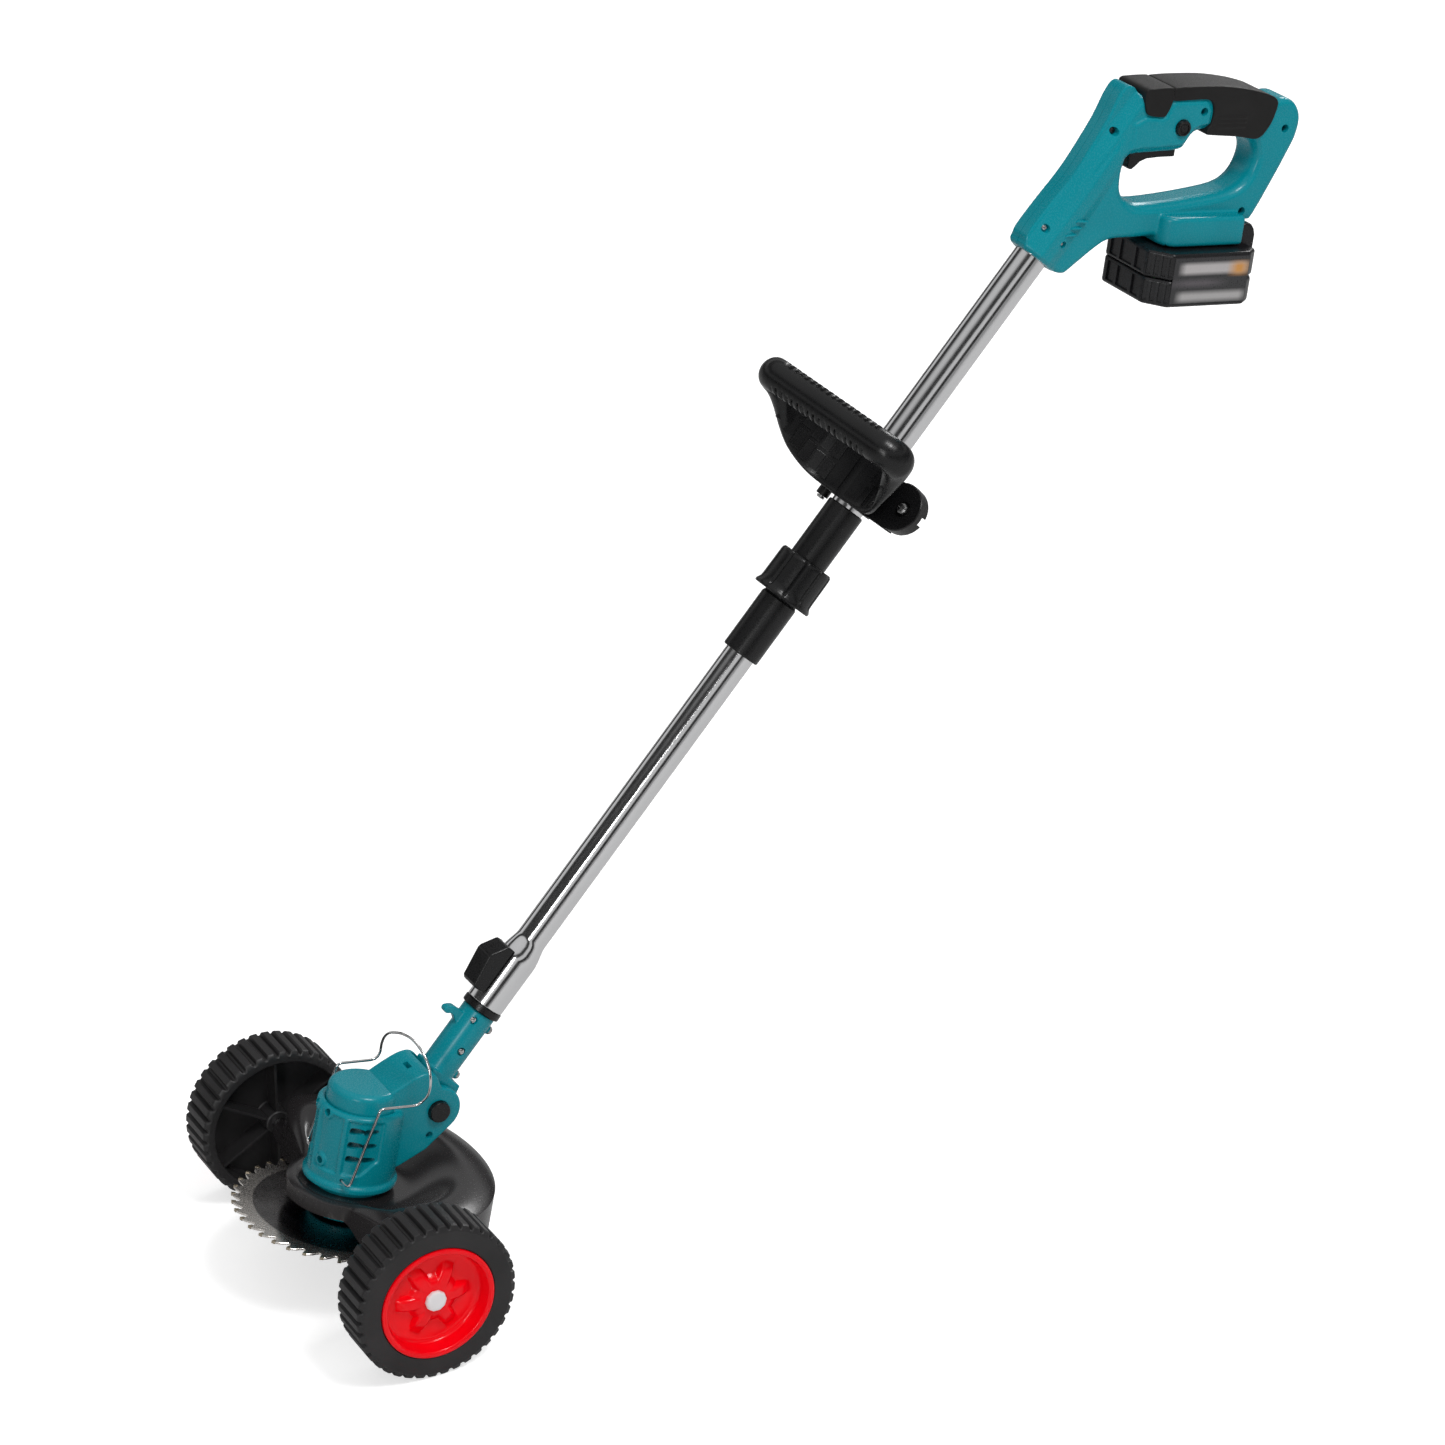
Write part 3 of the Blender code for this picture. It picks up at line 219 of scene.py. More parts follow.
def placed(point, axis):
    x, y, z = point
    if axis == "X":
        return (z, x, y)
    if axis == "Y":
        return (y, z, x)
    return (x, y, z)


def stitch(bm, first, second):
    """Faces between two rings of points, either of which may be a single point."""
    count = max(len(first), len(second))
    for step in range(count):
        after = (step + 1) % count
        corners = [first[step % len(first)], first[after % len(first)]]
        corners += [second[after % len(second)], second[step % len(second)]]
        corners = [v for i, v in enumerate(corners) if v not in corners[:i]]
        if len(corners) > 2:
            bm.faces.new(corners)


def turned(profile, segments=96, axis="Z", centre=(0.0, 0.0, 0.0)):
    """A body turned about an axis from (radius, height) points."""
    bm = bmesh.new()
    rings = []
    for radius, height in profile:
        ring = []
        for step in range(segments if radius > 0 else 1):
            angle = 2 * math.pi * step / segments
            spot = placed((radius * math.cos(angle), radius * math.sin(angle), height), axis)
            ring.append(bm.verts.new(Vector(spot) + Vector(centre)))
        rings.append(ring)
    on_axis = len(rings[0]) == 1 and len(rings[-1]) == 1
    for index in range(len(rings) - 1 if on_axis else len(rings)):
        stitch(bm, rings[index], rings[(index + 1) % len(rings)])
    return bm


def ringed(stations, samples, spot):
    """A closed body from rings of samples; spot(station, angle) gives a point."""
    bm = bmesh.new()
    rings = []
    for station in stations:
        angles = (2 * math.pi * step / samples for step in range(samples))
        rings.append([bm.verts.new(spot(station, angle)) for angle in angles])
    for index, ring in enumerate(rings):
        stitch(bm, ring, rings[(index + 1) % len(rings)])
    return bm


def rod(radius, low, high, segments=48, axis="Z", centre=(0.0, 0.0, 0.0)):
    return turned([(0, low), (radius, low), (radius, high), (0, high)], segments, axis, centre)


def pipe(outer, inner, low, high, segments=96, axis="Z", centre=(0.0, 0.0, 0.0)):
    return turned([(inner, low), (outer, low), (outer, high), (inner, high)], segments, axis, centre)


def prism(outline, low, high, axis="X"):
    bm = bmesh.new()
    ends = [[bm.verts.new(placed((a, b, height), axis)) for a, b in outline] for height in (low, high)]
    bm.faces.new(ends[0])
    bm.faces.new(ends[1])
    stitch(bm, ends[0], ends[1])
    return bm


def block(x, y, z):
    return prism([(x[0], y[0]), (x[1], y[0]), (x[1], y[1]), (x[0], y[1])], z[0], z[1], "Z")


def arc(centre, radius, start, end, steps):
    points = []
    for step in range(steps + 1):
        angle = math.radians(start + (end - start) * step / steps)
        points.append((centre[0] + radius * math.cos(angle), centre[1] + radius * math.sin(angle)))
    return points


def spline(points, steps=4, closed=True):
    """A smooth line through the points (Catmull-Rom)."""
    made = []
    count = len(points)
    for index in range(count if closed else count - 1):
        a, b, c, d = (
            points[(index + k) % count] if closed else points[min(max(index + k, 0), count - 1)]
            for k in (-1, 0, 1, 2)
        )
        for step in range(steps):
            t = step / steps
            weights = (
                (-t + 2 * t**2 - t**3) / 2,
                (2 - 5 * t**2 + 3 * t**3) / 2,
                (t + 4 * t**2 - 3 * t**3) / 2,
                (-(t**2) + t**3) / 2,
            )
            made.append(tuple(sum(w * p[k] for w, p in zip(weights, (a, b, c, d))) for k in range(len(a))))
    if not closed:
        made.append(tuple(points[-1]))
    return made


def tube(path, radius, sides=12):
    """A round bar along an open path of points."""
    bm = bmesh.new()
    rings = []
    normal = None
    points = [Vector(p) for p in path]
    for index, point in enumerate(points):
        along = (points[min(index + 1, len(points) - 1)] - points[max(index - 1, 0)]).normalized()
        if normal is None:
            normal = along.orthogonal().normalized()
        normal = (normal - along * normal.dot(along)).normalized()
        side = along.cross(normal)
        ring = []
        for step in range(sides):
            angle = 2 * math.pi * step / sides
            ring.append(bm.verts.new(point + radius * (math.cos(angle) * normal + math.sin(angle) * side)))
        rings.append(ring)
    for first, second in zip(rings, rings[1:]):
        stitch(bm, first, second)
    bm.faces.new(rings[0])
    bm.faces.new(rings[-1])
    return bm


def together(*parts):
    """One bmesh from several, which may overlap."""
    made = parts[0]
    for part in parts[1:]:
        mesh = bpy.data.meshes.new("part")
        part.to_mesh(mesh)
        part.free()
        made.from_mesh(mesh)
        bpy.data.meshes.remove(mesh)
    return made


def lofted(sections):
    """A body through rings of (x, y, z) points with capped ends."""
    bm = bmesh.new()
    rings = [[bm.verts.new(point) for point in section] for section in sections]
    for first, second in zip(rings, rings[1:]):
        stitch(bm, first, second)
    bm.faces.new(rings[0])
    bm.faces.new(rings[-1])
    return bm


def smooth(low, high, value):
    t = min(1.0, max(0.0, (value - low) / (high - low)))
    return t * t * (3 - 2 * t)


def shape(name, bm, where, look=None):
    """An object from a bmesh in millimetres of a local frame; with no look it is a helper."""
    bmesh.ops.recalc_face_normals(bm, faces=bm.faces)
    bmesh.ops.scale(bm, verts=bm.verts, vec=(MM, MM, MM))
    mesh = bpy.data.meshes.new(name)
    bm.to_mesh(mesh)
    bm.free()
    obj = bpy.data.objects.new(name, mesh)
    obj.matrix_world = FRAMES[where]
    bpy.context.scene.collection.objects.link(obj)
    if look:
        mesh.materials.append(LOOKS[look])
    else:
        obj.hide_render = True
        HIDDEN.append(obj)
    return obj


def boolean(obj, others, operation):
    for other in others:
        modifier = obj.modifiers.new(operation.title(), "BOOLEAN")
        modifier.operation = operation
        modifier.solver = "EXACT"
        modifier.object = other


def cut(obj, *others):
    boolean(obj, others, "DIFFERENCE")


def join(obj, *others):
    boolean(obj, others, "UNION")


def bevel(obj, width, segments=3, angle=35.0):
    modifier = obj.modifiers.new("Bevel", "BEVEL")
    modifier.width = width * MM
    modifier.segments = segments
    modifier.limit_method = "ANGLE"
    modifier.angle_limit = math.radians(angle)


def apply_all(obj):
    """Replaces the mesh with what its modifiers make of it."""
    bpy.context.view_layer.update()
    graph = bpy.context.evaluated_depsgraph_get()
    made = bpy.data.meshes.new_from_object(obj.evaluated_get(graph), preserve_all_data_layers=False,
                                           depsgraph=graph)
    obj.modifiers.clear()
    obj.data = made


def moulded(obj, voxel, rounds):
    """Remeshes a body as one moulded skin and softens its edges."""
    apply_all(obj)
    look = obj.data.materials[0]
    remesh = obj.modifiers.new("Remesh", "REMESH")
    remesh.mode = "VOXEL"
    remesh.voxel_size = voxel * MM
    remesh.use_smooth_shade = True
    relax = obj.modifiers.new("Smooth", "SMOOTH")
    relax.factor = 0.5
    relax.iterations = rounds
    apply_all(obj)
    obj.data.materials.clear()
    obj.data.materials.append(look)
    obj.data.shade_smooth()


def crisp(obj, angle=30.0):
    """Applies the modifiers and shades smooth between sharp edges, with flat faces kept flat."""
    apply_all(obj)
    obj.data.shade_smooth()
    obj.data.set_sharp_from_angle(angle=math.radians(angle))
    weighted = obj.modifiers.new("Normals", "WEIGHTED_NORMAL")
    weighted.keep_sharp = True
    apply_all(obj)


def finish(obj, body, slot, *stands_for):
    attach(obj, body)
    if stands_for:
        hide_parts(*stands_for)
    return obj


def dress(node_name, look):
    """Gives a CAD node that stays its finished material."""
    mesh = frame["nodes"][node_name].data
    mesh.materials.clear()
    mesh.materials.append(LOOKS[look])


# ---------------------------------------------------------------- stage

def area_light(name, place, target, size, power, colour=(1, 1, 1)):
    light = bpy.data.lights.new(name, "AREA")
    light.shape = "RECTANGLE"
    light.size, light.size_y = size
    light.energy = power
    light.color = colour
    obj = bpy.data.objects.new(name, light)
    obj.location = place
    obj.rotation_euler = (Vector(target) - Vector(place)).to_track_quat("-Z", "Y").to_euler()
    bpy.context.scene.collection.objects.link(obj)


def studio_world():
    """White behind the object, and soft boxes with dark gaps between them for it to reflect."""
    world = bpy.data.worlds.new("studio")
    world.use_nodes = True
    tree = world.node_tree
    background = tree.nodes["Background"]
    direction = tree.nodes.new("ShaderNodeTexCoord").outputs["Generated"]
    split = tree.nodes.new("ShaderNodeSeparateXYZ")
    tree.links.new(direction, split.inputs["Vector"])
    height = tree.nodes.new("ShaderNodeValToRGB")
    height.color_ramp.interpolation = "EASE"
    stops = ((0.0, 0.55), (0.06, 0.04), (0.20, 0.03), (0.27, 0.95), (0.44, 0.85), (0.50, 0.05),
             (0.62, 0.05), (0.72, 0.9), (1.0, 1.0))
    ramp = height.color_ramp.elements
    while len(ramp) < len(stops):
        ramp.new(0.5)
    for element, (place, level) in zip(ramp, stops):
        element.position = place
        element.color = (level, level, level, 1.0)
    tree.links.new(split.outputs["Z"], height.inputs["Fac"])
    path = tree.nodes.new("ShaderNodeLightPath")
    picked = tree.nodes.new("ShaderNodeMix")
    picked.data_type = "RGBA"
    picked.inputs["B"].default_value = (1.75, 1.75, 1.75, 1.0)
    tree.links.new(path.outputs["Is Camera Ray"], picked.inputs["Factor"])
    tree.links.new(height.outputs["Color"], picked.inputs["A"])
    tree.links.new(picked.outputs["Result"], background.inputs["Color"])
    background.inputs["Strength"].default_value = 0.6
    bpy.context.scene.world = world


def build_stage():
    scene = bpy.context.scene
    studio_world()
    scene.view_settings.view_transform = "Standard"

    floor = bpy.data.meshes.new("floor")
    floor.from_pydata([(-30, -30, 0), (30, -30, 0), (30, 30, 0), (-30, 30, 0)], [], [(0, 1, 2, 3)])
    floor_look = surface("floor_paper", (0.80, 0.80, 0.80), (0.82, 0.82, 0.82), (0.8, 0.9), depth=0.0)
    shader = floor_look.node_tree.nodes["Principled BSDF"]
    shader.inputs["Specular IOR Level"].default_value = 0.0
    shader.inputs["Emission Color"].default_value = (1.0, 1.0, 1.0, 1.0)
    shader.inputs["Emission Strength"].default_value = 0.0
    seen = floor_look.node_tree.nodes.new("ShaderNodeMath")
    seen.operation = "MULTIPLY"
    seen.inputs[1].default_value = 0.62
    ray = floor_look.node_tree.nodes.new("ShaderNodeLightPath")
    floor_look.node_tree.links.new(ray.outputs["Is Camera Ray"], seen.inputs[0])
    floor_look.node_tree.links.new(seen.outputs["Value"], shader.inputs["Emission Strength"])
    paper = shader.inputs["Base Color"].links[0].from_socket
    mirrored = floor_look.node_tree.nodes.new("ShaderNodeMix")
    mirrored.data_type = "RGBA"
    mirrored.inputs["B"].default_value = (0.62, 0.62, 0.62, 1.0)
    floor_look.node_tree.links.new(ray.outputs["Is Glossy Ray"], mirrored.inputs["Factor"])
    floor_look.node_tree.links.new(paper, mirrored.inputs["A"])
    floor_look.node_tree.links.new(mirrored.outputs["Result"], shader.inputs["Base Color"])
    floor.materials.append(floor_look)
    stage = bpy.data.objects.new("floor", floor)
    scene.collection.objects.link(stage)

    area_light("key", (2.0, 0.4, 3.6), (0, 0, 0.3), (1.0, 1.0), 64)
    area_light("fill", (2.6, -2.8, 1.5), (0, 0, 0.4), (0.45, 1.6), 24)
    area_light("rim", (-1.6, 2.6, 2.2), (0, 0, 0.5), (1.2, 0.8), 26)


CAMERA_TURN, CAMERA_RISE = 61.4, 26.09  # degrees round the tool and above the floor
CAMERA_REACH, CAMERA_LENS = 3.60913, 114.36  # metres from the aimed point, and millimetres
AIM_PAST_AXLE, AIM_HEIGHT = 0.33756, 0.40507


def build_camera():
    azimuth, elevation = math.radians(CAMERA_TURN), math.radians(CAMERA_RISE)
    axle = FRAMES["axle"].translation
    aim = Vector((0.0, axle.y + AIM_PAST_AXLE, AIM_HEIGHT))
    back = Vector((
        math.sin(azimuth) * math.cos(elevation),
        -math.cos(azimuth) * math.cos(elevation),
        math.sin(elevation),
    ))
    camera = bpy.data.cameras.new("camera")
    camera.sensor_width = 36.0
    camera.lens = CAMERA_LENS
    obj = bpy.data.objects.new("camera", camera)
    obj.location = aim + CAMERA_REACH * back
    obj.rotation_euler = back.to_track_quat("Z", "Y").to_euler()
    bpy.context.scene.collection.objects.link(obj)
    bpy.context.scene.camera = obj


# ---------------------------------------------------------------- wheels

LUGS = 40
TYRE_TIP, TYRE_ROOT = 66.4, 63.0
RIM = 47.2
INNER_X, OUTER_X, WEB_X = 127.9, 169.4, 150.0


def lug_height(angle):
    """0 in a groove, 1 on a lug, with sloped flanks."""
    turn = (angle / (2 * math.pi) * LUGS) % 1.0
    return smooth(0.02, 0.16, turn) * (1.0 - smooth(0.70, 0.84, turn))


def build_tyre(side, sign):
    """Block-lugged tyre on one body with its wheel centre: a smooth side ring and a ribbed hollow behind."""
    # radius at the root, lug height there and place along the axle, from the rim pocket round to the web
    stations = [
        (RIM, 0, WEB_X + 3.2), (RIM, 0, OUTER_X - 0.8), (RIM + 0.8, 0, OUTER_X), (61.2, 0, OUTER_X),
        (62.3, 0, OUTER_X - 0.5), (62.8, 0.25, OUTER_X - 1.2), (TYRE_ROOT, 0.75, OUTER_X - 1.9),
        (TYRE_ROOT, 1, OUTER_X - 3.4), (TYRE_ROOT, 1, INNER_X + 3.4), (TYRE_ROOT, 0.75, INNER_X + 1.9),
        (62.8, 0.25, INNER_X + 1.0), (62.0, 0, INNER_X), (57.5, 0, INNER_X), (56.4, 0, INNER_X + 1.2),
        (55.6, 0, WEB_X - 2.0), (53.6, 0, WEB_X), (12.0, 0, WEB_X), (11.0, 0, WEB_X - 1.0),
        (10.0, 0, INNER_X + 5.0), (9.0, 0, INNER_X + 4.2), (4.3, 0, INNER_X + 4.2), (4.3, 0, WEB_X + 3.2),
    ]

    def spot(station, angle):
        radius, lug, x = station
        reach = radius + lug * (TYRE_TIP - TYRE_ROOT) * lug_height(angle)
        return (sign * x, reach * math.cos(angle), reach * math.sin(angle))

    tyre = shape("tyre_" + side, ringed(stations, LUGS * 12, spot), "axle", "tyre")
    ribs = []
    for index in range(6):
        rib = block((-1.1, 1.1), (9.6, 57.0), sorted((sign * (INNER_X + 5.5), sign * (WEB_X + 0.5))))
        bmesh.ops.rotate(rib, verts=rib.verts, cent=(0, 0, 0),
                         matrix=Matrix.Rotation(math.radians(60 * index), 3, "Z"))
        turn_to_x = Matrix(((0, 0, 1), (1, 0, 0), (0, 1, 0)))
        bmesh.ops.rotate(rib, verts=rib.verts, cent=(0, 0, 0), matrix=turn_to_x)
        ribs.append(shape("rib_%s_%d" % (side, index), rib, "axle"))
    join(tyre, *ribs)
    crisp(tyre, 38)
    finish(tyre, "wheel_" + side, "wheel_rubber", "wheel_" + side)


def build_hub(side, sign):
    """Red rim insert: rolled lip, deep wall and a six-armed star boss."""
    def star(angle):
        return 20.0 + 9.4 * smooth(-0.55, 0.80, math.cos(6 * angle))

    front = [(0.60, 163.3), (0.80, 162.3), (0.94, 160.2), (1.03, 157.7), (1.09, 156.9)]
    back = WEB_X + 3.4
    stations = [(0, 4.3, back), (0, 4.3, 163.4), (0, 9.6, 163.4)]
    stations += [(share, 0, x) for share, x in front]
    stations += [(0, 36.0, 156.9), (0, 39.2, 157.8), (0, 41.2, 160.5), (0, 42.0, 168.9), (0, 42.7, 170.1)]
    stations += [(0, 43.9, 170.6), (0, 45.9, 170.6), (0, 46.8, 170.0), (0, RIM - 0.2, 168.8),
                 (0, RIM - 0.2, back)]

    def spot(station, angle):
        share, radius, x = station
        reach = share * star(angle) if share else radius
        return (sign * x, reach * math.cos(angle), reach * math.sin(angle))

    hub = shape("rim_" + side, ringed(stations, 240, spot), "axle", "red")
    crisp(hub, 40)
    finish(hub, "wheel_" + side, "red_hub", "hub_" + side)


def build_axle(side, sign):
    """Fixed axle bolt: nut inside, stem, and the pale faceted cap outside."""
    stem = [(0, 100.0), (4.0, 100.0), (4.0, 163.6), (0, 163.6)]
    bolt = shape("axle_" + side, turned([(r, sign * x) for r, x in stem], 48, "X"), "axle", "steel")
    nut = shape("nut_" + side,
                turned([(0, sign * 119.4), (7.5, sign * 119.4), (7.5, sign * 125.6), (0, sign * 125.6)], 6,
                       "X"), "axle")
    join(bolt, nut)
    bevel(bolt, 0.5, 2)
    crisp(bolt)
    finish(bolt, "motor_head", "fastener_steel", "axle_bolt_" + side)
    dome = [(0, 163.7), (8.8, 163.7), (8.8, 165.4), (8.3, 166.5), (6.6, 167.2), (0, 167.4)]
    cap = shape("axle_cap_" + side, turned([(r, sign * x) for r, x in dome], 10, "X"), "axle", "cap")
    bevel(cap, 0.35, 2, 20)
    crisp(cap)
    finish(cap, "motor_head", "fastener_steel")


# ---------------------------------------------------------------- pole

def build_tubes():
    lower = [
        (13.0, 26.2), (15.4, 26.2), (15.8, 26.8), (15.8, 70.0), (15.6, 73.0), (15.0, 76.5), (13.6, 82.5),
        (12.8, 86.0),
        (12.5, 89.0), (12.5, 529.5), (12.0, 530.0), (11.5, 529.5), (11.5, 89.0), (12.6, 78.0), (13.0, 74.0),
    ]
    tube_body = shape("lower_pole_tube", turned(lower, 96), "pole", "tube")
    window = shape("cut_window", block((-5.3, 5.3), (-40, -8), (38.7, 67.3)), "pole")
    cut(tube_body, window)
    crisp(tube_body, 40)
    finish(tube_body, "lower_pole", "polished_tube", "lower_tube")
    upper = shape("upper_pole_tube", pipe(13.7, 12.9, 460, 800, 96), "pole", "tube")
    crisp(upper, 40)
    finish(upper, "upper_assembly", "polished_tube", "upper_tube")
    ring = turned([(12.1, 19.8), (15.8, 19.8), (16.4, 20.4), (16.4, 25.2), (15.9, 25.8), (12.1, 25.8)], 96)
    ring = shape("end_ring", ring, "pole", "black")
    crisp(ring)
    finish(ring, "lower_pole", "black_plastic", "socket_ring")


def build_sleeve():
    """Black sleeve where the two tubes meet, and the fluted collar that clamps them."""
    profile = [
        (12.8, 366.3), (14.9, 366.0), (15.5, 366.5), (15.7, 367.4), (15.7, 417.5), (15.2, 418.2),
        (14.3, 420), (14.3, 450),
        (15.2, 454.2), (15.7, 455), (15.7, 505.6), (15.2, 506.7), (14.4, 507.0), (13.9, 506.6),
        (13.9, 459.6), (12.8, 459.6),
    ]
    sleeve = shape("sleeve", turned(profile, 96), "pole", "black")
    crisp(sleeve, 40)
    finish(sleeve, "upper_assembly", "black_plastic", "pole_sleeve")
    dress("clamp_bush", "nylon")

    def flutes(angle):
        turn = (angle / (2 * math.pi) * 10) % 1.0
        return 1.0 - 0.062 * (1.0 - smooth(0.0, 0.13, turn) * (1.0 - smooth(0.87, 1.0, turn)))

    stations = [
        (16.3, 0, 421.0), (24.6, 0, 420.2), (25.3, 0, 420.8), (25.3, 0, 422.4), (24.4, 0.3, 424.0),
        (23.4, 1, 426.0),
        (23.2, 1, 430.0), (23.0, 1, 452.0), (22.7, 1, 454.4), (21.6, 0.6, 455.7), (20.6, 0, 456.0),
        (16.9, 0, 456.0),
        (16.3, 0, 455.4),
    ]

    def spot(station, angle):
        radius, depth, s = station
        reach = radius * (1.0 - depth * (1.0 - flutes(angle)))
        return (reach * math.cos(angle), reach * math.sin(angle), s)

    collar = shape("fluted_collar", ringed(stations, 240, spot), "pole", "black")
    crisp(collar, 34)
    finish(collar, "twist_collar", "black_plastic", "twist_collar")


def build_release_button():
    """Wedge-shaped button on the socket, with a stem through its window."""
    wedge = [(-9, 34), (-24.5, 34), (-26.8, 36.5), (-31, 60.5), (-30.2, 63.6), (-21.5, 75), (-9, 75)]
    button = shape("wedge_button", prism(wedge, -10.6, 10.6), "pole", "black")
    bevel(button, 1.6, 4)
    saddle = shape("cut_saddle", rod(18.3, 0, 120, 96), "pole")
    cut(button, saddle)
    stem = shape("join_stem", block((-5, 5), (-22, -13.4), (39, 67)), "pole")
    join(button, stem)
    crisp(button)
    finish(button, "head_release", "black_plastic", "head_release_button")


# ---------------------------------------------------------------- loop handle

CLAMP_S = 531.5  # along the pole, the middle of the loop handle's clamp
CLAMP_LOW, CLAMP_HIGH = CLAMP_S - 21.5, CLAMP_S + 18.5
CLAMP_R, CLAMP_BORE, PIN_BORE = 19.5, 13.95, 2.05
CLAMP_PIN, CLAMP_SCREW_X, EAR_X = (-26, -1, 0), 49, 44


def loop_line():
    half = [(4, -16.8), (14, -17.0), (24, -18.8), (35, -25), (47, -37), (58, -53), (65.5, -68)]
    corner = arc((56.5, -80), 14, 12, -82, 7)
    half = spline(half, 4, closed=False) + corner[1:]
    straight = [(48, -94), (36, -94), (24, -94), (12, -94)]
    right = half + straight
    return right + [(0, -94)] + [(-x, y) for x, y in reversed(right)]


def build_loop():
    """Strap-legged loop: broad thin legs that roll into a round grip bar with notched edges."""
    path = [Vector(p) for p in loop_line()]
    dense = []
    for first, second in zip(path, path[1:]):
        count = max(1, round((second - first).length / 0.95))
        dense += [first.lerp(second, k / count) for k in range(count)]
    dense.append(path[-1])
    bm = bmesh.new()
    rings = []
    sides = 40
    for index, point in enumerate(dense):
        before, after = dense[max(index - 2, 0)], dense[min(index + 2, len(dense) - 1)]
        along = (after - before).normalized()
        side = Vector((along.y, -along.x))
        grip = smooth(40, 80, -point.y)
        half_wide = 21.2 + (13.4 - 21.2) * grip
        half_thick = 2.9 + (12.0 - 2.9) * grip
        lift = CLAMP_S + 26.0 * smooth(15, 88, -point.y)
        notched = smooth(84, 89, -point.y) * (1 - smooth(50, 56, abs(point.x)))
        teeth = notched * smooth(-0.2, 0.5, math.sin(2 * math.pi * point.x / 6.2))
        ring = []
        for step in range(sides):
            angle = 2 * math.pi * step / sides
            power = 0.42 + 0.58 * grip
            across = math.copysign(abs(math.cos(angle)) ** power, math.cos(angle)) * half_thick
            height = math.copysign(abs(math.sin(angle)) ** power, math.sin(angle)) * half_wide
            edge = smooth(0.62, 0.93, abs(math.sin(angle)))
            height -= math.copysign(2.9 * teeth * edge, height)
            ring.append(bm.verts.new((point.x + side.x * across, point.y + side.y * across, lift + height)))
        rings.append(ring)
    for first, second in zip(rings, rings[1:]):
        stitch(bm, first, second)
    bm.faces.new(rings[0])
    bm.faces.new(rings[-1])
    loop = shape("front_loop", bm, "loop", "black")
    low, high = CLAMP_LOW, CLAMP_HIGH
    ear = [(14, -7), (44, -7), (44, -0.3), (14, -0.3)]
    tip = turned([(0, -7), (19.2, -7), (20, -6.2), (20, -0.3), (0, -0.3)], 72, "Y", (EAR_X, 0, CLAMP_S))
    shapes = [
        shape("join_half_collar", prism(arc((0, 0), CLAMP_R, 180, 360, 40), low, high, "Z"), "loop"),
        shape("join_ear", prism(ear, low + 0.5, high - 0.5, "Z"), "loop"),
        shape("join_tip", tip, "loop"),
        shape("join_bridge", block((-28, -14), (-7, -3.2), (low + 1, high - 2.5)), "loop"),
        shape("join_knuckle", rod(5.4, low - 6, high - 1.5, 40, "Z", CLAMP_PIN), "loop"),
    ]
    join(loop, *shapes)
    holes = [
        shape("cut_tube", rod(CLAMP_BORE, 480, 580, 96), "loop"),
        shape("cut_clamp", rod(2.6, -60, 60, 32, "Y", (CLAMP_SCREW_X, 0, CLAMP_S)), "loop"),
        shape("cut_clamp_seat", rod(6.4, -30, -5.6, 40, "Y", (CLAMP_SCREW_X, 0, CLAMP_S)), "loop"),
        shape("cut_gap", rod(6.3, low + 10, high - 12, 40, "Z", CLAMP_PIN), "loop"),
        shape("cut_pin", rod(PIN_BORE, 480, 580, 24, "Z", CLAMP_PIN), "loop"),
    ]
    cut(loop, *holes)
    # two rows of raised pads on the inner side of each leg and of the base
    pads = []
    for height in (CLAMP_S - 9.2, CLAMP_S + 9.2):
        for sign in (-1, 1):
            for place in (20.2, 31.4, 42.6, 53.8, 65.0, 76.2):
                pads.append(raised_pad(dense, place, sign, height))
    pads = shape("join_pads", together(*pads), "loop")
    bevel(pads, 0.5, 2)
    apply_all(pads)
    join(loop, pads)
    crisp(loop, 35)
    finish(loop, "loop_handle", "black_plastic", "loop_handle")


def raised_pad(dense, distance, sign, height):
    """A rectangular pad on the inner face of the loop at a distance along the leg from its middle."""
    walked = 0.0
    for first, second in zip(dense, dense[1:]):
        walked += (second - first).length
        if walked >= distance:
            break
    along = (second - first).normalized()
    inner = Vector((along.y, -along.x))
    centre = first + inner * 2.9
    lift = 26.0 * smooth(15, 88, -first.y)
    bm = block((-4.4, 4.4), (-1.5, 1.5), (-7.6, 7.6))
    angle = math.atan2(along.y, along.x)
    bmesh.ops.rotate(bm, verts=bm.verts, cent=(0, 0, 0), matrix=Matrix.Rotation(angle, 3, "Z"))
    bmesh.ops.translate(bm, verts=bm.verts, vec=(centre.x, centre.y, height + lift))
    if sign < 0:
        bmesh.ops.scale(bm, verts=bm.verts, vec=(-1, 1, 1))
    return bm


# ---------------------------------------------------------------- motor head

HOUSING_R, CAP_R, COLLAR_R = 35.0, 28.6, 28.7
PIVOT = (57.0, 94.0)
GUARD_FOOT = (-21.0, 42.0)
SCREW_TURN, VENT_TURNS = 16.0, (62.0, 82.0)


def from_front(angle):
    """Degrees round the housing from its front seam, the same on both sides."""
    return abs((math.degrees(angle) + 90.0 + 180.0) % 360.0 - 180.0)


def band(low, high, edge, value):
    return smooth(low - edge, low + edge, value) * (1.0 - smooth(high - edge, high + edge, value))


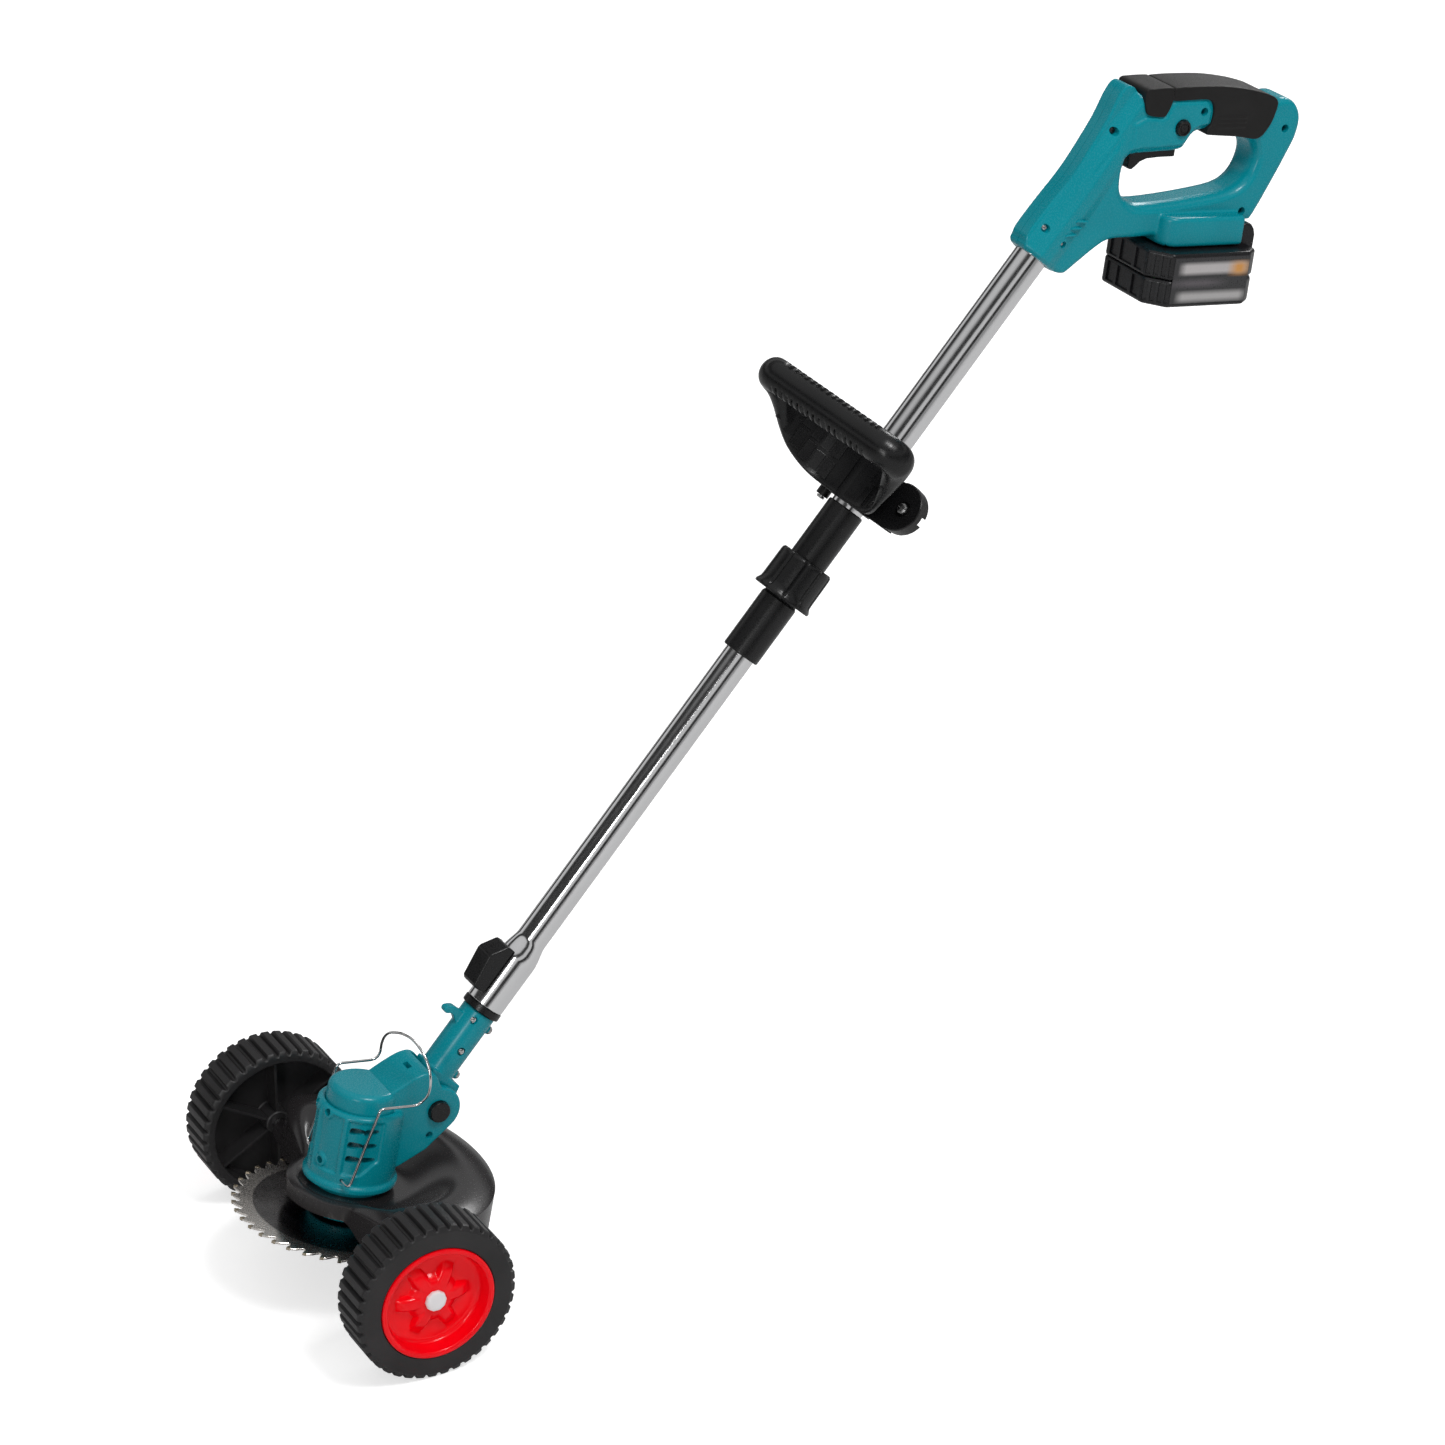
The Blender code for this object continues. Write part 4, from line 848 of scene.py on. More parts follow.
def housing_relief(angle, z):
    """How far the housing stands out from its cylinder: ribs round the panels, hoods over the screws."""
    turn = from_front(angle)
    screws = 0.0
    for height in (93.0, 52.0):
        reach = math.hypot(math.radians(turn - SCREW_TURN) * HOUSING_R, z - height)
        screws = max(screws, 1.0 - smooth(4.6, 6.4, reach))
    hole_panel = band(5.0, 42.5, 1.2, turn) * band(46.0, 93.0, 0.9, z)
    lower = 47.0 + 12.0 * smooth(70, 98, turn)
    vent_panel = band(50.0, 98.0, 1.2, turn) * band(lower, 92.5, 0.9, z)
    seam = 1.0 - smooth(1.2, 2.6, turn)
    return 0.5 * seam - 1.9 * max(hole_panel * (1.0 - screws), vent_panel)


def yoke_line():
    hump = [(6, 104), (10, 109), (16, 113.6), (26, 120.3), (35.5, 125.6), (44, 127.5), (50, 125), (54, 119)]
    lug = arc(PIVOT, 19.5, 90, -42, 24)
    return [(-14, 60), (-14, 94)] + spline(hump, 4, closed=False) + lug + [(52, 60), (30, 46.5), (8, 44)]


def build_housing():
    samples = 400
    stations = [(37.0, 31.5), (37.5, 32.1), (37.5, 35.2), (36.9, 36.2), (35.7, 37.6)]
    stations += [(HOUSING_R, 38.5 + 0.75 * step) for step in range(73)]
    stations += [(34.6, 94.2), (33.8, 95.6), (32.4, 96.6), (30.6, 97.0), (CAP_R + 0.5, 97.0),
                 (CAP_R + 0.5, 95.2)]
    bm = bmesh.new()
    rings = [[bm.verts.new((0, 0, 31.5))]]
    for radius, z in stations:
        ring = []
        for step in range(samples):
            angle = 2 * math.pi * step / samples
            reach = radius + (housing_relief(angle, z) if radius == HOUSING_R else 0.0)
            ring.append(bm.verts.new((reach * math.cos(angle), reach * math.sin(angle), z)))
        rings.append(ring)
    rings.append([bm.verts.new((0, 0, 95.2))])
    for first, second in zip(rings, rings[1:]):
        stitch(bm, first, second)
    yoke = shape("join_yoke", prism(yoke_line(), -22.0, 22.0), "head")
    bevel(yoke, 4.2, 5)
    apply_all(yoke)
    housing = shape("motor_housing", bm, "head", "teal")
    join(housing, yoke)
    moulded(housing, 0.62, 3)
    motor_bay = [(0, 20), (9, 20), (9, 33.2), (11.3, 33.2), (11.3, 42.5), (22.4, 42.5), (22.4, 86.2),
                 (8.3, 86.2)]
    motor_bay += [(8.3, 91.6), (0, 91.6)]
    slot = arc(PIVOT, 17.0, 180, 340, 32) + [(117, 74), (117, 200), (58, 200), (58, 150), (48, 134),
            (42, 122), (38.5, 108)]
    cutters = [
        turned(motor_bay, 64),
        block((-6, 6), (21, 44), (70, 92)),
        rod(5.09, -30, 30, 48, "X", (0, *PIVOT)),
        rod(8.3, -40, -21.8, 48, "X", (0, *PIVOT)),
        rod(9.1, 16.4, 40, 72, "X", (0, *PIVOT)),
        rod(3.0, 17, 40, 40, "X", (0, 52.5, 73)),
        block((-4.0, 5.5), (32.6, 36.2), (120.5, 140)),
        rod(1.5, -60, 60, 20, "X", (0, *GUARD_FOOT)),
    ]
    holes = {turn: [] for turn in (SCREW_TURN, *VENT_TURNS)}
    for sign in (-1, 1):
        for z in (93.0, 52.0):
            hole = rod(2.9, 26.5, 45, 32, "Z")
            aim_out(hole, -90 + sign * SCREW_TURN, z)
            holes[SCREW_TURN].append(hole)
        for turn in VENT_TURNS:
            for z in (60.5, 72.6, 84.7):
                vent = prism(spline([(-5.0, -2.9), (4.6, -1.6), (5.2, 1.9), (-4.4, 2.3)], 5), 20.0, 45, "Z")
                if sign < 0:
                    bmesh.ops.scale(vent, verts=vent.verts, vec=(1, -1, 1))
                aim_out(vent, -90 + sign * turn, z)
                holes[turn].append(vent)
    cut(housing, shape("cut_neck_slot", prism(slot, -15.6, 15.6), "head"), *(
        shape("cut_head_%d" % index, bm, "head") for index, bm in enumerate(cutters)
    ))
    cut(housing, *(shape("cut_holes_%d" % turn, together(*group), "head") for turn, group in holes.items()))
    seam = prism([(-50, 37.8), (-50, 96.0), (-26, 96.0), (-34.6, 91.5), (-34.6, 40)], -0.22, 0.22)
    cut(housing, shape("cut_seam", seam, "head"))
    crisp(housing, 38)
    finish(housing, "motor_head", "teal_plastic", "motor_housing_right", "motor_housing_left")


def aim_out(bm, degrees, z):
    """Turns a cutter built along Z so that it points out of the head at an angle and a height."""
    bmesh.ops.rotate(bm, verts=bm.verts, cent=(0, 0, 0), matrix=Matrix(((0, 0, 1), (1, 0, 0), (0, 1, 0))))
    bmesh.ops.rotate(bm, verts=bm.verts, cent=(0, 0, 0),
                     matrix=Matrix.Rotation(math.radians(degrees), 3, "Z"))
    bmesh.ops.translate(bm, verts=bm.verts, vec=(0, 0, z))


def build_cap():
    profile = [(0, 95.4), (27.8, 95.4), (CAP_R, 96.2), (28.3, 103.5)]
    profile += arc((22.6, 106.4), 5.6, 8, 90, 10) + [(14, 112.2), (0, 112.3)]
    cap = shape("motor_cap", turned(profile, 128), "head", "teal")
    room = prism([(3.0, 90), (5.0, 103.6), (12.4, 110.4), (16, 130), (60, 130), (60, 90)], -22.3, 22.3)
    cut(cap, shape("cut_cap_hollow", rod(25.2, 80, 109, 64), "head"), shape("cut_cap_yoke", room, "head"))
    crisp(cap, 40)
    finish(cap, "motor_head", "teal_plastic", "motor_cap")
    collar = [
        (25.7, 3.2), (27.9, 3.2), (28.5, 3.9), (COLLAR_R, 5.0), (COLLAR_R, 31.2), (11.3, 31.2),
        (11.3, 28.0), (25.7, 28.0),
    ]
    collar = shape("lower_collar", turned(collar, 128), "head", "teal")
    crisp(collar, 40)
    finish(collar, "motor_head", "teal_plastic", "lower_collar")



def build_pivot():
    knob = [(0, 17.8), (4.9, 17.8), (4.9, 20.0), (8.7, 20.0), (8.7, 25.3), (8.4, 25.9), (7.8, 26.2),
            (6.6, 26.0), (0, 26.0)]
    button = shape("pivot_button", turned(knob, 72, "X", (0, *PIVOT)), "head", "black")
    crisp(button, 40)
    finish(button, "pivot_lock", "black_plastic", "pivot_lock_button")
    bolt = [(0, -24.5), (7.2, -24.5), (8.0, -23.8), (8.0, -22.3), (5.0, -22.3), (5.0, 15.2), (0, 15.2)]
    bolt = shape("pivot_bolt", turned(bolt, 48, "X", (0, *PIVOT)), "head", "steel")
    cut(bolt, shape("cut_hex",
                    turned([(0, -30), (3.4, -30), (3.4, -22.9), (0, -22.9)], 6, "X", (0, *PIVOT)), "head"))
    crisp(bolt)
    finish(bolt, "motor_head", "fastener_steel", "pivot_bolt")


def build_guard():
    """Chromed wire: feet in the housing, straight legs, a kink above the ledge and a lopsided arch."""
    y, z = GUARD_FOOT
    foot = [(28, y, z), (36.4, y, z), (39.2, y + 0.6, z + 1.1), (40, y + 1.7, z + 3.6), (40, -5.2, 105.4)]
    foot += [(40, -4.2, 107.8), (40, -1.6, 109.0), (40, 24, 109.9), (40, 27.6, 110.8)]
    arch = [
        (40.5, 30, 113), (44, 32, 120), (46, 32, 129), (44, 31, 139), (36.5, 28.5, 150), (24, 24, 157.5),
        (12, 21.5, 157.5),
        (0, 21.5, 153.5), (-14, 22, 146.5), (-26, 25, 137), (-34, 28, 127), (-38.5, 30.5, 118),
        (-40, 30, 113),
    ]
    path = foot + spline(arch, 4, closed=False) + [(-x, b, c) for x, b, c in reversed(foot)]
    guard = shape("wire_guard", tube(path, 1.1, 14), "head", "chrome")
    guard.data.shade_smooth()
    crisp(guard, 50)
    finish(guard, "wire_guard", "chrome_wire", "wire_guard")


def build_blade():
    teeth, radius = 40, 88.9
    outline = []
    tips = []
    pitch = 360.0 / teeth
    for tooth in range(teeth):
        start = pitch * tooth
        line = ((0.0, radius), (0.05, radius - 0.2), (0.30, radius - 1.6), (0.50, radius - 3.6),
                (0.66, radius - 6.0),
                (0.78, radius - 7.2), (0.88, radius - 7.0), (0.95, radius - 5.6), (0.985, radius - 2.8))
        for turn, reach in line:
            angle = math.radians(start + turn * pitch)
            outline.append((reach * math.cos(angle), reach * math.sin(angle)))
        corners = ((-0.06, radius + 0.1), (0.16, radius - 0.4), (0.10, radius - 3.4), (-0.045, radius - 3.6))
        corner_points = []
        for turn, reach in corners:
            angle = math.radians(start + turn * pitch)
            corner_points.append((reach * math.cos(angle), reach * math.sin(angle)))
        tips.append(prism(corner_points, -1.15, 1.15, "Z"))
    disc = shape("saw_blade", prism(outline, -0.8, 0.8, "Z"), "head", "blade")
    cut(disc, shape("cut_blade", rod(2.56, -5, 5, 32), "head"))
    bevel(disc, 0.25, 1, 50)
    crisp(disc)
    finish(disc, "blade", "blade_steel", "saw_blade")
    tip = shape("blade_tips", together(*tips), "head", "brass")
    crisp(tip)
    finish(tip, "blade", "blade_steel")
    nut = turned([(0, -7.5), (6.0, -7.5), (6.6, -6.9), (6.6, -3.2), (0, -3.2)], 6, "Z")
    flange = turned([(0, -3.3), (11.4, -3.3), (12.0, -2.7), (12.0, -1.0), (0, -1.0)], 64)
    shaft = rod(2.5, -9.0, -7.4, 32)
    nut = shape("blade_nut", together(nut, flange, shaft), "head", "steel")
    crisp(nut)
    finish(nut, "blade", "fastener_steel", "blade_nut")


def shield_section(angle, count):
    """Upper surface from the collar hole outwards, as (radius, height); 0 is the front, 180 the rear."""
    around = abs(angle)
    open_up = smooth(58, 92, around)
    reach = 49.0 + (118.0 - 49.0) * open_up**2 - 6.0 * smooth(115, 180, around)
    crest = 28.0 + 20.0 * smooth(66, 96, around)
    foot = 15.0 - 21.0 * smooth(60, 95, around)
    section = []
    for index in range(count):
        u = index / (count - 1)
        radius = 29.3 + (reach - 29.3) * min(1.0, u / 0.72) ** 0.9
        rise = 26.0 + (crest - 26.0) * smooth(0.10, 0.50, u)
        fall = max(0.0, (u - 0.42) / 0.58)
        section.append((radius, foot + (rise - foot) * math.sqrt(max(0.0, 1.0 - fall**2.4))))
    return section


def build_shield():
    """Moulded cover: a rolled ring in front of the collar, and a dome behind with an arm to each wheel."""
    around, along, wall = 216, 34, 2.6
    bm = bmesh.new()
    rings = []
    for step in range(around):
        angle = 360.0 * step / around
        top = shield_section(angle if angle <= 180 else angle - 360, along)
        under = []
        for index, (radius, height) in enumerate(top):
            before, after = top[max(index - 1, 0)], top[min(index + 1, along - 1)]
            slope = Vector((after[0] - before[0], after[1] - before[1])).normalized()
            under.append((radius + wall * slope.y, height - wall * slope.x))
        ring = []
        for radius, height in top + under[::-1]:
            ring.append(bm.verts.new((radius * math.sin(math.radians(angle)),
                                      -radius * math.cos(math.radians(angle)), height)))
        rings.append(ring)
    for step in range(around):
        stitch(bm, rings[step], rings[(step + 1) % around])
    shield = shape("blade_shield", bm, "head", "gloss")
    axle = FRAMES["head"].inverted() @ FRAMES["axle"].translation
    centre = (0, axle.y / MM, axle.z / MM)
    for side, sign in (("right", 1), ("left", -1)):
        cut(shield, shape("cut_boss_" + side,
                          rod(6.5, *sorted((sign * 97.0, sign * 140.0)), 40, "X", centre), "head"))
        join(shield, shape("join_boss_" + side,
                           pipe(11.0, 4.2, *sorted((sign * 103.0, sign * 119.0)), 64, "X", centre), "head"))
    crisp(shield, 42)
    finish(shield, "motor_head", "gloss_black", "blade_shield")


# ---------------------------------------------------------------- neck

NECK_R, NECK_PIVOT = 14.2, (9.0, -62.0)
NECK_SCREWS = ((-8.4, 12.0), (-1.0, -14.0))


def build_neck():
    """Round neck with its hook, pivot tongue, mould seam and screws."""
    profile = [(0, -44), (13.4, -44), (NECK_R, -43.2), (NECK_R, 18.8), (13.7, 19.4), (11.2, 19.4),
               (11.2, 70), (0, 70)]
    tongue = prism(arc(NECK_PIVOT, 15.0, 180, 360, 24) + [(18, -38), (-13, -36), (-11, -52)], -14.0, 14.0)
    hook = prism(spline([(-10, 0), (-15, 2.5), (-21.5, 6.4), (-27, 4.4), (-30, 5.4), (-30.4, 8.6),
                         (-25, 12.2), (-17, 12.0),
                         (-10, 13)], 4), -3.5, 3.5)
    neck = shape("neck", together(turned(profile, 96), tongue, hook), "pole", "teal")
    moulded(neck, 0.6, 3)
    cutters = [
        rod(7.5, -46, 80, 48),
        rod(5.09, -40, 40, 48, "X", (0, *NECK_PIVOT)),
        block((-7, 7), (-9.5, 8), (-90, -40)),
        prism([(-13.9, -50), (-13.9, 17), (-16, 17), (-16, -50)], -0.2, 0.2),
        prism([(13.9, -50), (13.9, 17), (16, 17), (16, -50)], -0.2, 0.2),
    ]
    cut(neck, *(shape("cut_neck_%d" % index, bm, "pole") for index, bm in enumerate(cutters)))
    for s in (10.0, -33.5):
        boss = shape("join_boss_%d" % s, pipe(3.8, 2.2, 10.5, 14.6, 40, "Y", (3.2, 0, s)), "pole")
        join(neck, boss)
    for y, s in NECK_SCREWS:
        seat = 12.0 if y < -5 else 12.9
        cut(neck, shape("cut_screw_%d" % s, rod(3.5, seat - 0.8, 20, 32, "X", (0, y, s)), "pole"))
    crisp(neck, 40)
    finish(neck, "neck", "teal_plastic", "neck_shell_right", "neck_shell_left")
    for s, label in ((10.0, "upper"), (-33.5, "lower")):
        stem = [(0, -12.0), (2.0, -12.0), (2.0, 15.0), (3.3, 15.2), (3.5, 16.6), (2.8, 18.0), (0, 18.4)]
        bolt = shape("neck_bolt_" + label, turned(stem, 40, "Y", (3.2, 0, s)), "pole", "steel")
        cut(bolt, shape("cut_cross_" + label, cross(1.0, 3.6, 17.4, 20, "Y", (3.2, 0, s)), "pole"))
        crisp(bolt)
        finish(bolt, "neck", "fastener_steel", "neck_bolt_" + label)
    (high_y, high_s), (low_y, low_s) = NECK_SCREWS
    screw_head("neck_screw", "pole", (0, low_y, low_s), 12.6, 2.7, "neck", "neck_screw", look="chrome")
    screw_head("neck_screw_top", "pole", (0, high_y, high_s), 11.0, 2.6, "neck", look="chrome")


def cross(width, reach, low, high, axis, centre):
    """A cross recess, as one plus-shaped prism."""
    w = width / 2
    line = [(-reach, -w), (-w, -w), (-w, -reach), (w, -reach), (w, -w), (reach, -w)]
    line += [(-a, -b) for a, b in line]
    bm = prism([(a * 0.62, b * 0.62) for a, b in line], low, high, axis)
    bmesh.ops.translate(bm, verts=bm.verts, vec=centre)
    return bm


def screw_head(name, where, centre, height, radius, body, *stands_for, look="steel"):
    """A domed cross-head screw, facing +X of the frame, with its underside at a height."""
    dome = [(0, height - 3.0), (1.6, height - 3.0), (1.6, height), (radius * 0.94, height),
            (radius, height + 0.5),
            (radius * 0.82, height + 1.6), (radius * 0.4, height + 2.2), (0, height + 2.3)]
    head = shape(name, turned(dome, 40, "X", centre), where, look)
    cut(head, shape("cut_" + name, cross(1.0, radius, height + 1.1, height + 5, "X", centre), where))
    crisp(head)
    finish(head, body, "fastener_steel", *stands_for)


# ---------------------------------------------------------------- handle

SHELL_HALF, GRIP_HALF = 17.5, 20.0
HANDLE_SCREWS = ((17.5, -39.5, 136.5), (17.5, 121, 136), (17.5, 92, 69), (20.4, -90.5, 60.4))
FLAP_HOLE = (19.3, 39, 151.9)
SMALL_SCREW = (0, -75.1, 48.0)
LOCK = (0, 20.5, 139.5)
ENTRY = 750.0  # along the pole, where the tube goes into the handle


def handle_line():
    """Outer edge of the handle in (y, z): front column, grip core, rear column and foot."""
    front = [(-101, 58), (-86, 79), (-70, 100), (-57, 122), (-46, 143), (-38, 163), (-31.5, 171.5),
             (-24, 170), (-18, 164.5)]
    top = [(0, 166), (38, 167), (64, 165.5), (88, 162.5), (106, 158.2), (114, 160), (122, 159.6),
           (130, 154.5)]
    rear = [(135.2, 144), (134, 129), (128, 114), (121, 98), (105.5, 66), (98, 58)]
    base = [(88, 53), (40, 51), (-8, 50), (-30, 49), (-44, 41), (-58, 30), (-71, 22), (-86, 32.5),
            (-101, 43), (-104, 50)]
    return spline(front + top + rear + base, 3)


def opening_line():
    lower = [(-25, 108), (-25.5, 98), (-23.5, 87), (-16, 79.5), (-4, 76.3), (20, 77.5), (50, 81), (78, 86),
             (91, 94)]
    upper = [(97, 106), (97, 118), (89, 128), (72, 133), (50, 135), (37, 133), (31, 125), (25, 119.2),
             (0, 117.6), (-21, 116)]
    return spline(lower + upper, 3)


def along_pole(bm):
    """Moves a body built up Z from where the pole enters onto the pole axis, in the handle frame."""
    to_handle = FRAMES["handle"].inverted() @ FRAMES["pole"]
    to_handle.translation = to_handle.translation / MM
    bmesh.ops.translate(bm, verts=bm.verts, vec=(0, 0, ENTRY))
    bmesh.ops.transform(bm, matrix=to_handle, verts=bm.verts)
    return bm


def column_section(width, depth, s):
    """Ridged section of the front column: a blunt nose, the widest line behind it and a rounded back."""
    half = [(11, -20), (21, -7), (20.4, 3), (17, 13), (10, 20)]
    ring = half + [(-x, y) for x, y in reversed(half)]
    return [(x * width, y * depth, s) for x, y in ring]


def build_handle():
    body = shape("join_core", prism(handle_line(), -SHELL_HALF, SHELL_HALF), "handle")
    bevel(body, 9.5, 6)
    apply_all(body)
    flap = [(-24, 119), (0, 119.6), (24, 121.4), (31, 126.8), (36.5, 132.8), (43.4, 137), (45.8, 143),
            (46.2, 153), (41.5, 159.6)]
    flap += [(10.6, 159.8), (8.2, 157.4), (4.6, 148.8), (1, 146.8), (-13, 148), (-24, 143)]
    flap = shape("join_flap", prism(flap, -19.5, 19.5), "handle")
    bevel(flap, 1.3, 3)
    apply_all(flap)
    column = along_pole(lofted([
        column_section(0.88, 0.88, 0), column_section(1.0, 1.0, 2.6), column_section(1.0, 1.0, 62),
        column_section(0.95, 0.98, 85), column_section(0.84, 0.93, 118),
    ]))
    nose = arc((17, 27), 14, 0, -90, 10)
    foot = shape("join_foot",
                 prism(nose + [(-x, y) for x, y in reversed(nose)] + [(-31, 88), (31, 88)], 45.2, 69.0,
                       "Z"), "handle")
    bevel(foot, 2.4, 3)
    handle = shape("handle_shells", column, "handle", "teal")
    join(handle, body, foot, flap)
    moulded(handle, 0.9, 1)
    # the opening flares towards both sides, and two flats along the column leave a ridge between them
    flare = ((-60, 6.5), (-17.6, 6.5), (-15.4, 3.2), (-12.2, 1.0), (-8.0, 0.0), (8.0, 0.0), (12.2, 1.0),
             (15.4, 3.2), (17.6, 6.5), (60, 6.5))
    hole = lofted([[(x, y, z) for y, z in shrunk(opening_line(), -grow)] for x, grow in flare])
    chamfers = []
    for sign in (-1, 1):
        flat = [(10.6, -20.5), (22.8, -5.5), (45, -5.5), (45, -45), (10.6, -45)]
        chamfers.append(along_pole(prism([(sign * x, y) for x, y in flat], -12, 150, "Z")))
    cut(handle, shape("cut_opening", hole, "handle"), *(
        shape("cut_chamfer_%d" % index, bm, "handle") for index, bm in enumerate(chamfers)
    ))
    moulded(handle, 0.98, 2)
    ribs = []
    for sign in (-1, 1):
        for s, reach in ((26, 7.0), (33, 8.5), (40, 9.5)):
            rib = prism([(0.4, s), (reach, s + 5.4), (reach, s + 7.4), (0.4, s + 2.6)],
                        *sorted((sign * 17.0, sign * 21.6)), "X")
            ribs.append(along_pole(rib))
    ribs = shape("join_ribs", together(*ribs), "handle")
    bevel(ribs, 0.6, 2)
    apply_all(ribs)
    join(handle, ribs)
    cutters = [
        along_pole(rod(14.0, -40, 55, 64)),
        block((-8.4, 8.4), (-19.5, 29), (100, 126)),
        block((-12.5, 12.5), (-23, 38), (125.9, 158)),
        rod(6.9, -40, 40, 64, "X", LOCK),
        block((-26.6, 26.6), (17, 140), (20, 62.5)),
    ]
    cut(handle, *(shape("cut_handle_%d" % index, bm, "handle") for index, bm in enumerate(cutters)))
    bores = []
    for x, y, z in (*HANDLE_SCREWS, FLAP_HOLE):
        for sign in (-1, 1):
            bores.append(rod(3.3, *sorted((sign * (x - 8.0), sign * (x + 20))), 40, "X", (0, y, z)))
    for sign in (-1, 1):
        bores.append(rod(2.9, *sorted((sign * 16.6, sign * 40)), 32, "X", SMALL_SCREW))
    cut(handle, shape("cut_bores", together(*bores), "handle"))
    line = handle_line()
    groove = shape("cut_seam_core", prism(shrunk(line, 0.55), -5, 5), "handle")
    seam = shape("cut_handle_seam", prism(shrunk(line, -8), -0.22, 0.22), "handle")
    cut(seam, groove)
    apply_all(seam)
    cut(handle, seam)
    crisp(handle, 40)
    finish(handle, "upper_assembly", "teal_plastic", "handle_shell_right", "handle_shell_left")
    for index, (x, y, z) in enumerate(HANDLE_SCREWS):
        node_name = "handle_screw_%d" % (index + 1)
        screw_head("screw_%d" % (index + 1), "handle", (0, y, z), x - 8.2, 2.3 if x > 20 else 2.9,
                   "upper_assembly",
                   node_name, look="chrome" if x > 20 else "dark")
    screw_head("small_screw", "handle", SMALL_SCREW, 15.6, 2.0, "upper_assembly", look="chrome")


def shrunk(line, amount):
    """The outline moved inwards by an amount."""
    made = []
    count = len(line)
    pairs = zip(line, line[1:] + line[:1])
    area = sum(here[0] * there[1] - there[0] * here[1] for here, there in pairs)
    inward = 1.0 if area > 0 else -1.0
    for index, point in enumerate(line):
        before, after = line[index - 1], line[(index + 1) % count]
        along = Vector((after[0] - before[0], after[1] - before[1])).normalized()
        made.append((point[0] - inward * along.y * amount, point[1] + inward * along.x * amount))
    return made


def build_grip():
    """Soft grip cover: long rear sleeve with an embossed patch, and the thumb pad in front of its seam."""
    rear = [(7.9, 161.4), (7.4, 166), (7.6, 170.6), (12, 172), (34, 172.6), (60, 171.8), (88, 167.6),
            (107.3, 160.8)]
    rear += [(107.8, 149), (103, 137), (94, 128.7), (76, 130.8), (50, 132.6), (44.6, 133.6), (44.8, 138),
             (47.6, 143)]
    rear += [(47.8, 154), (42.4, 161.2), (25, 161.5)]
    sleeve = shape("grip_sleeve", prism(spline(rear, 4), -GRIP_HALF, GRIP_HALF), "handle", "rubber")
    bevel(sleeve, 6.0, 6)
    apply_all(sleeve)
    for index in range(3):
        for sign in (-1, 1):
            x = sorted((sign * 19.2, sign * 20.55))
            rib = shape("join_rib_%d_%d" % (index, sign),
                        block(x, (53, 80), (138.6 + 3.6 * index, 140.4 + 3.6 * index)), "handle")
            bevel(rib, 0.5, 2)
            join(sleeve, rib)
    moulded(sleeve, 0.6, 2)
    crisp(sleeve, 60)
    finish(sleeve, "upper_assembly", "soft_grip", "grip_sleeve")
    pad = [(-17.6, 158), (-19.2, 166), (-17.6, 170.6), (-8, 171.6), (5.6, 171.8), (7.0, 170.4), (7.1, 160),
           (3.6, 151)]
    pad += [(0.4, 148.7), (-10, 149.4), (-14.6, 151.4)]
    thumb = shape("thumb_pad", prism(spline(pad, 4), -GRIP_HALF, GRIP_HALF), "handle", "rubber")
    bevel(thumb, 5.6, 6)
    moulded(thumb, 0.6, 2)
    cut(thumb, shape("cut_thumb_core", prism([(-30, 100), (30, 100), (30, 141), (-30, 141)], -30, 30),
                     "handle"))
    crisp(thumb, 60)
    finish(thumb, "upper_assembly", "soft_grip", "thumb_pad")


def build_trigger_group():
    line = [(-17, 104), (-13, 102.8), (-9.5, 105.5), (-6, 109), (0, 111.4), (12, 112.3), (26, 112.5),
            (26, 120.8)]
    line += [(10, 121), (10, 124.6), (-10, 124.6), (-10, 121), (-17, 121)]
    trigger = shape("trigger", prism(line, -7.6, 7.6), "handle", "black")
    bevel(trigger, 1.4, 4)
    crisp(trigger)
    finish(trigger, "trigger", "black_plastic", "trigger")
    profile = [(0, -21.6), (4.2, -21.6), (4.4, -22.3), (5.2, -22.5), (6.1, -22.0), (6.5, -20.8),
               (6.5, 20.8), (6.1, 22.0),
               (5.2, 22.5), (4.4, 22.3), (4.2, 21.6), (0, 21.6)]
    button = shape("lock_button", turned(profile, 64, "X", LOCK), "handle", "black")
    knob = [(0, -22.3), (2.9, -22.3), (3.2, -21.9), (3.2, 21.9), (2.9, 22.3), (0, 22.3)]
    join(button, shape("join_knob", turned(knob, 40, "X", LOCK), "handle"))
    crisp(button)
    finish(button, "lock_off", "black_plastic", "lock_off_button")


# ---------------------------------------------------------------- battery

BATTERY_L, BATTERY_HALF = 98.0, 44.0


def battery_plan():
    half = BATTERY_HALF
    front = [(-half, 15), (-half + 16, 0), (half - 16, 0), (half, 15)]
    return front + [(half, BATTERY_L - 10), (half - 8, BATTERY_L), (-half + 8, BATTERY_L),
                    (-half, BATTERY_L - 10)]


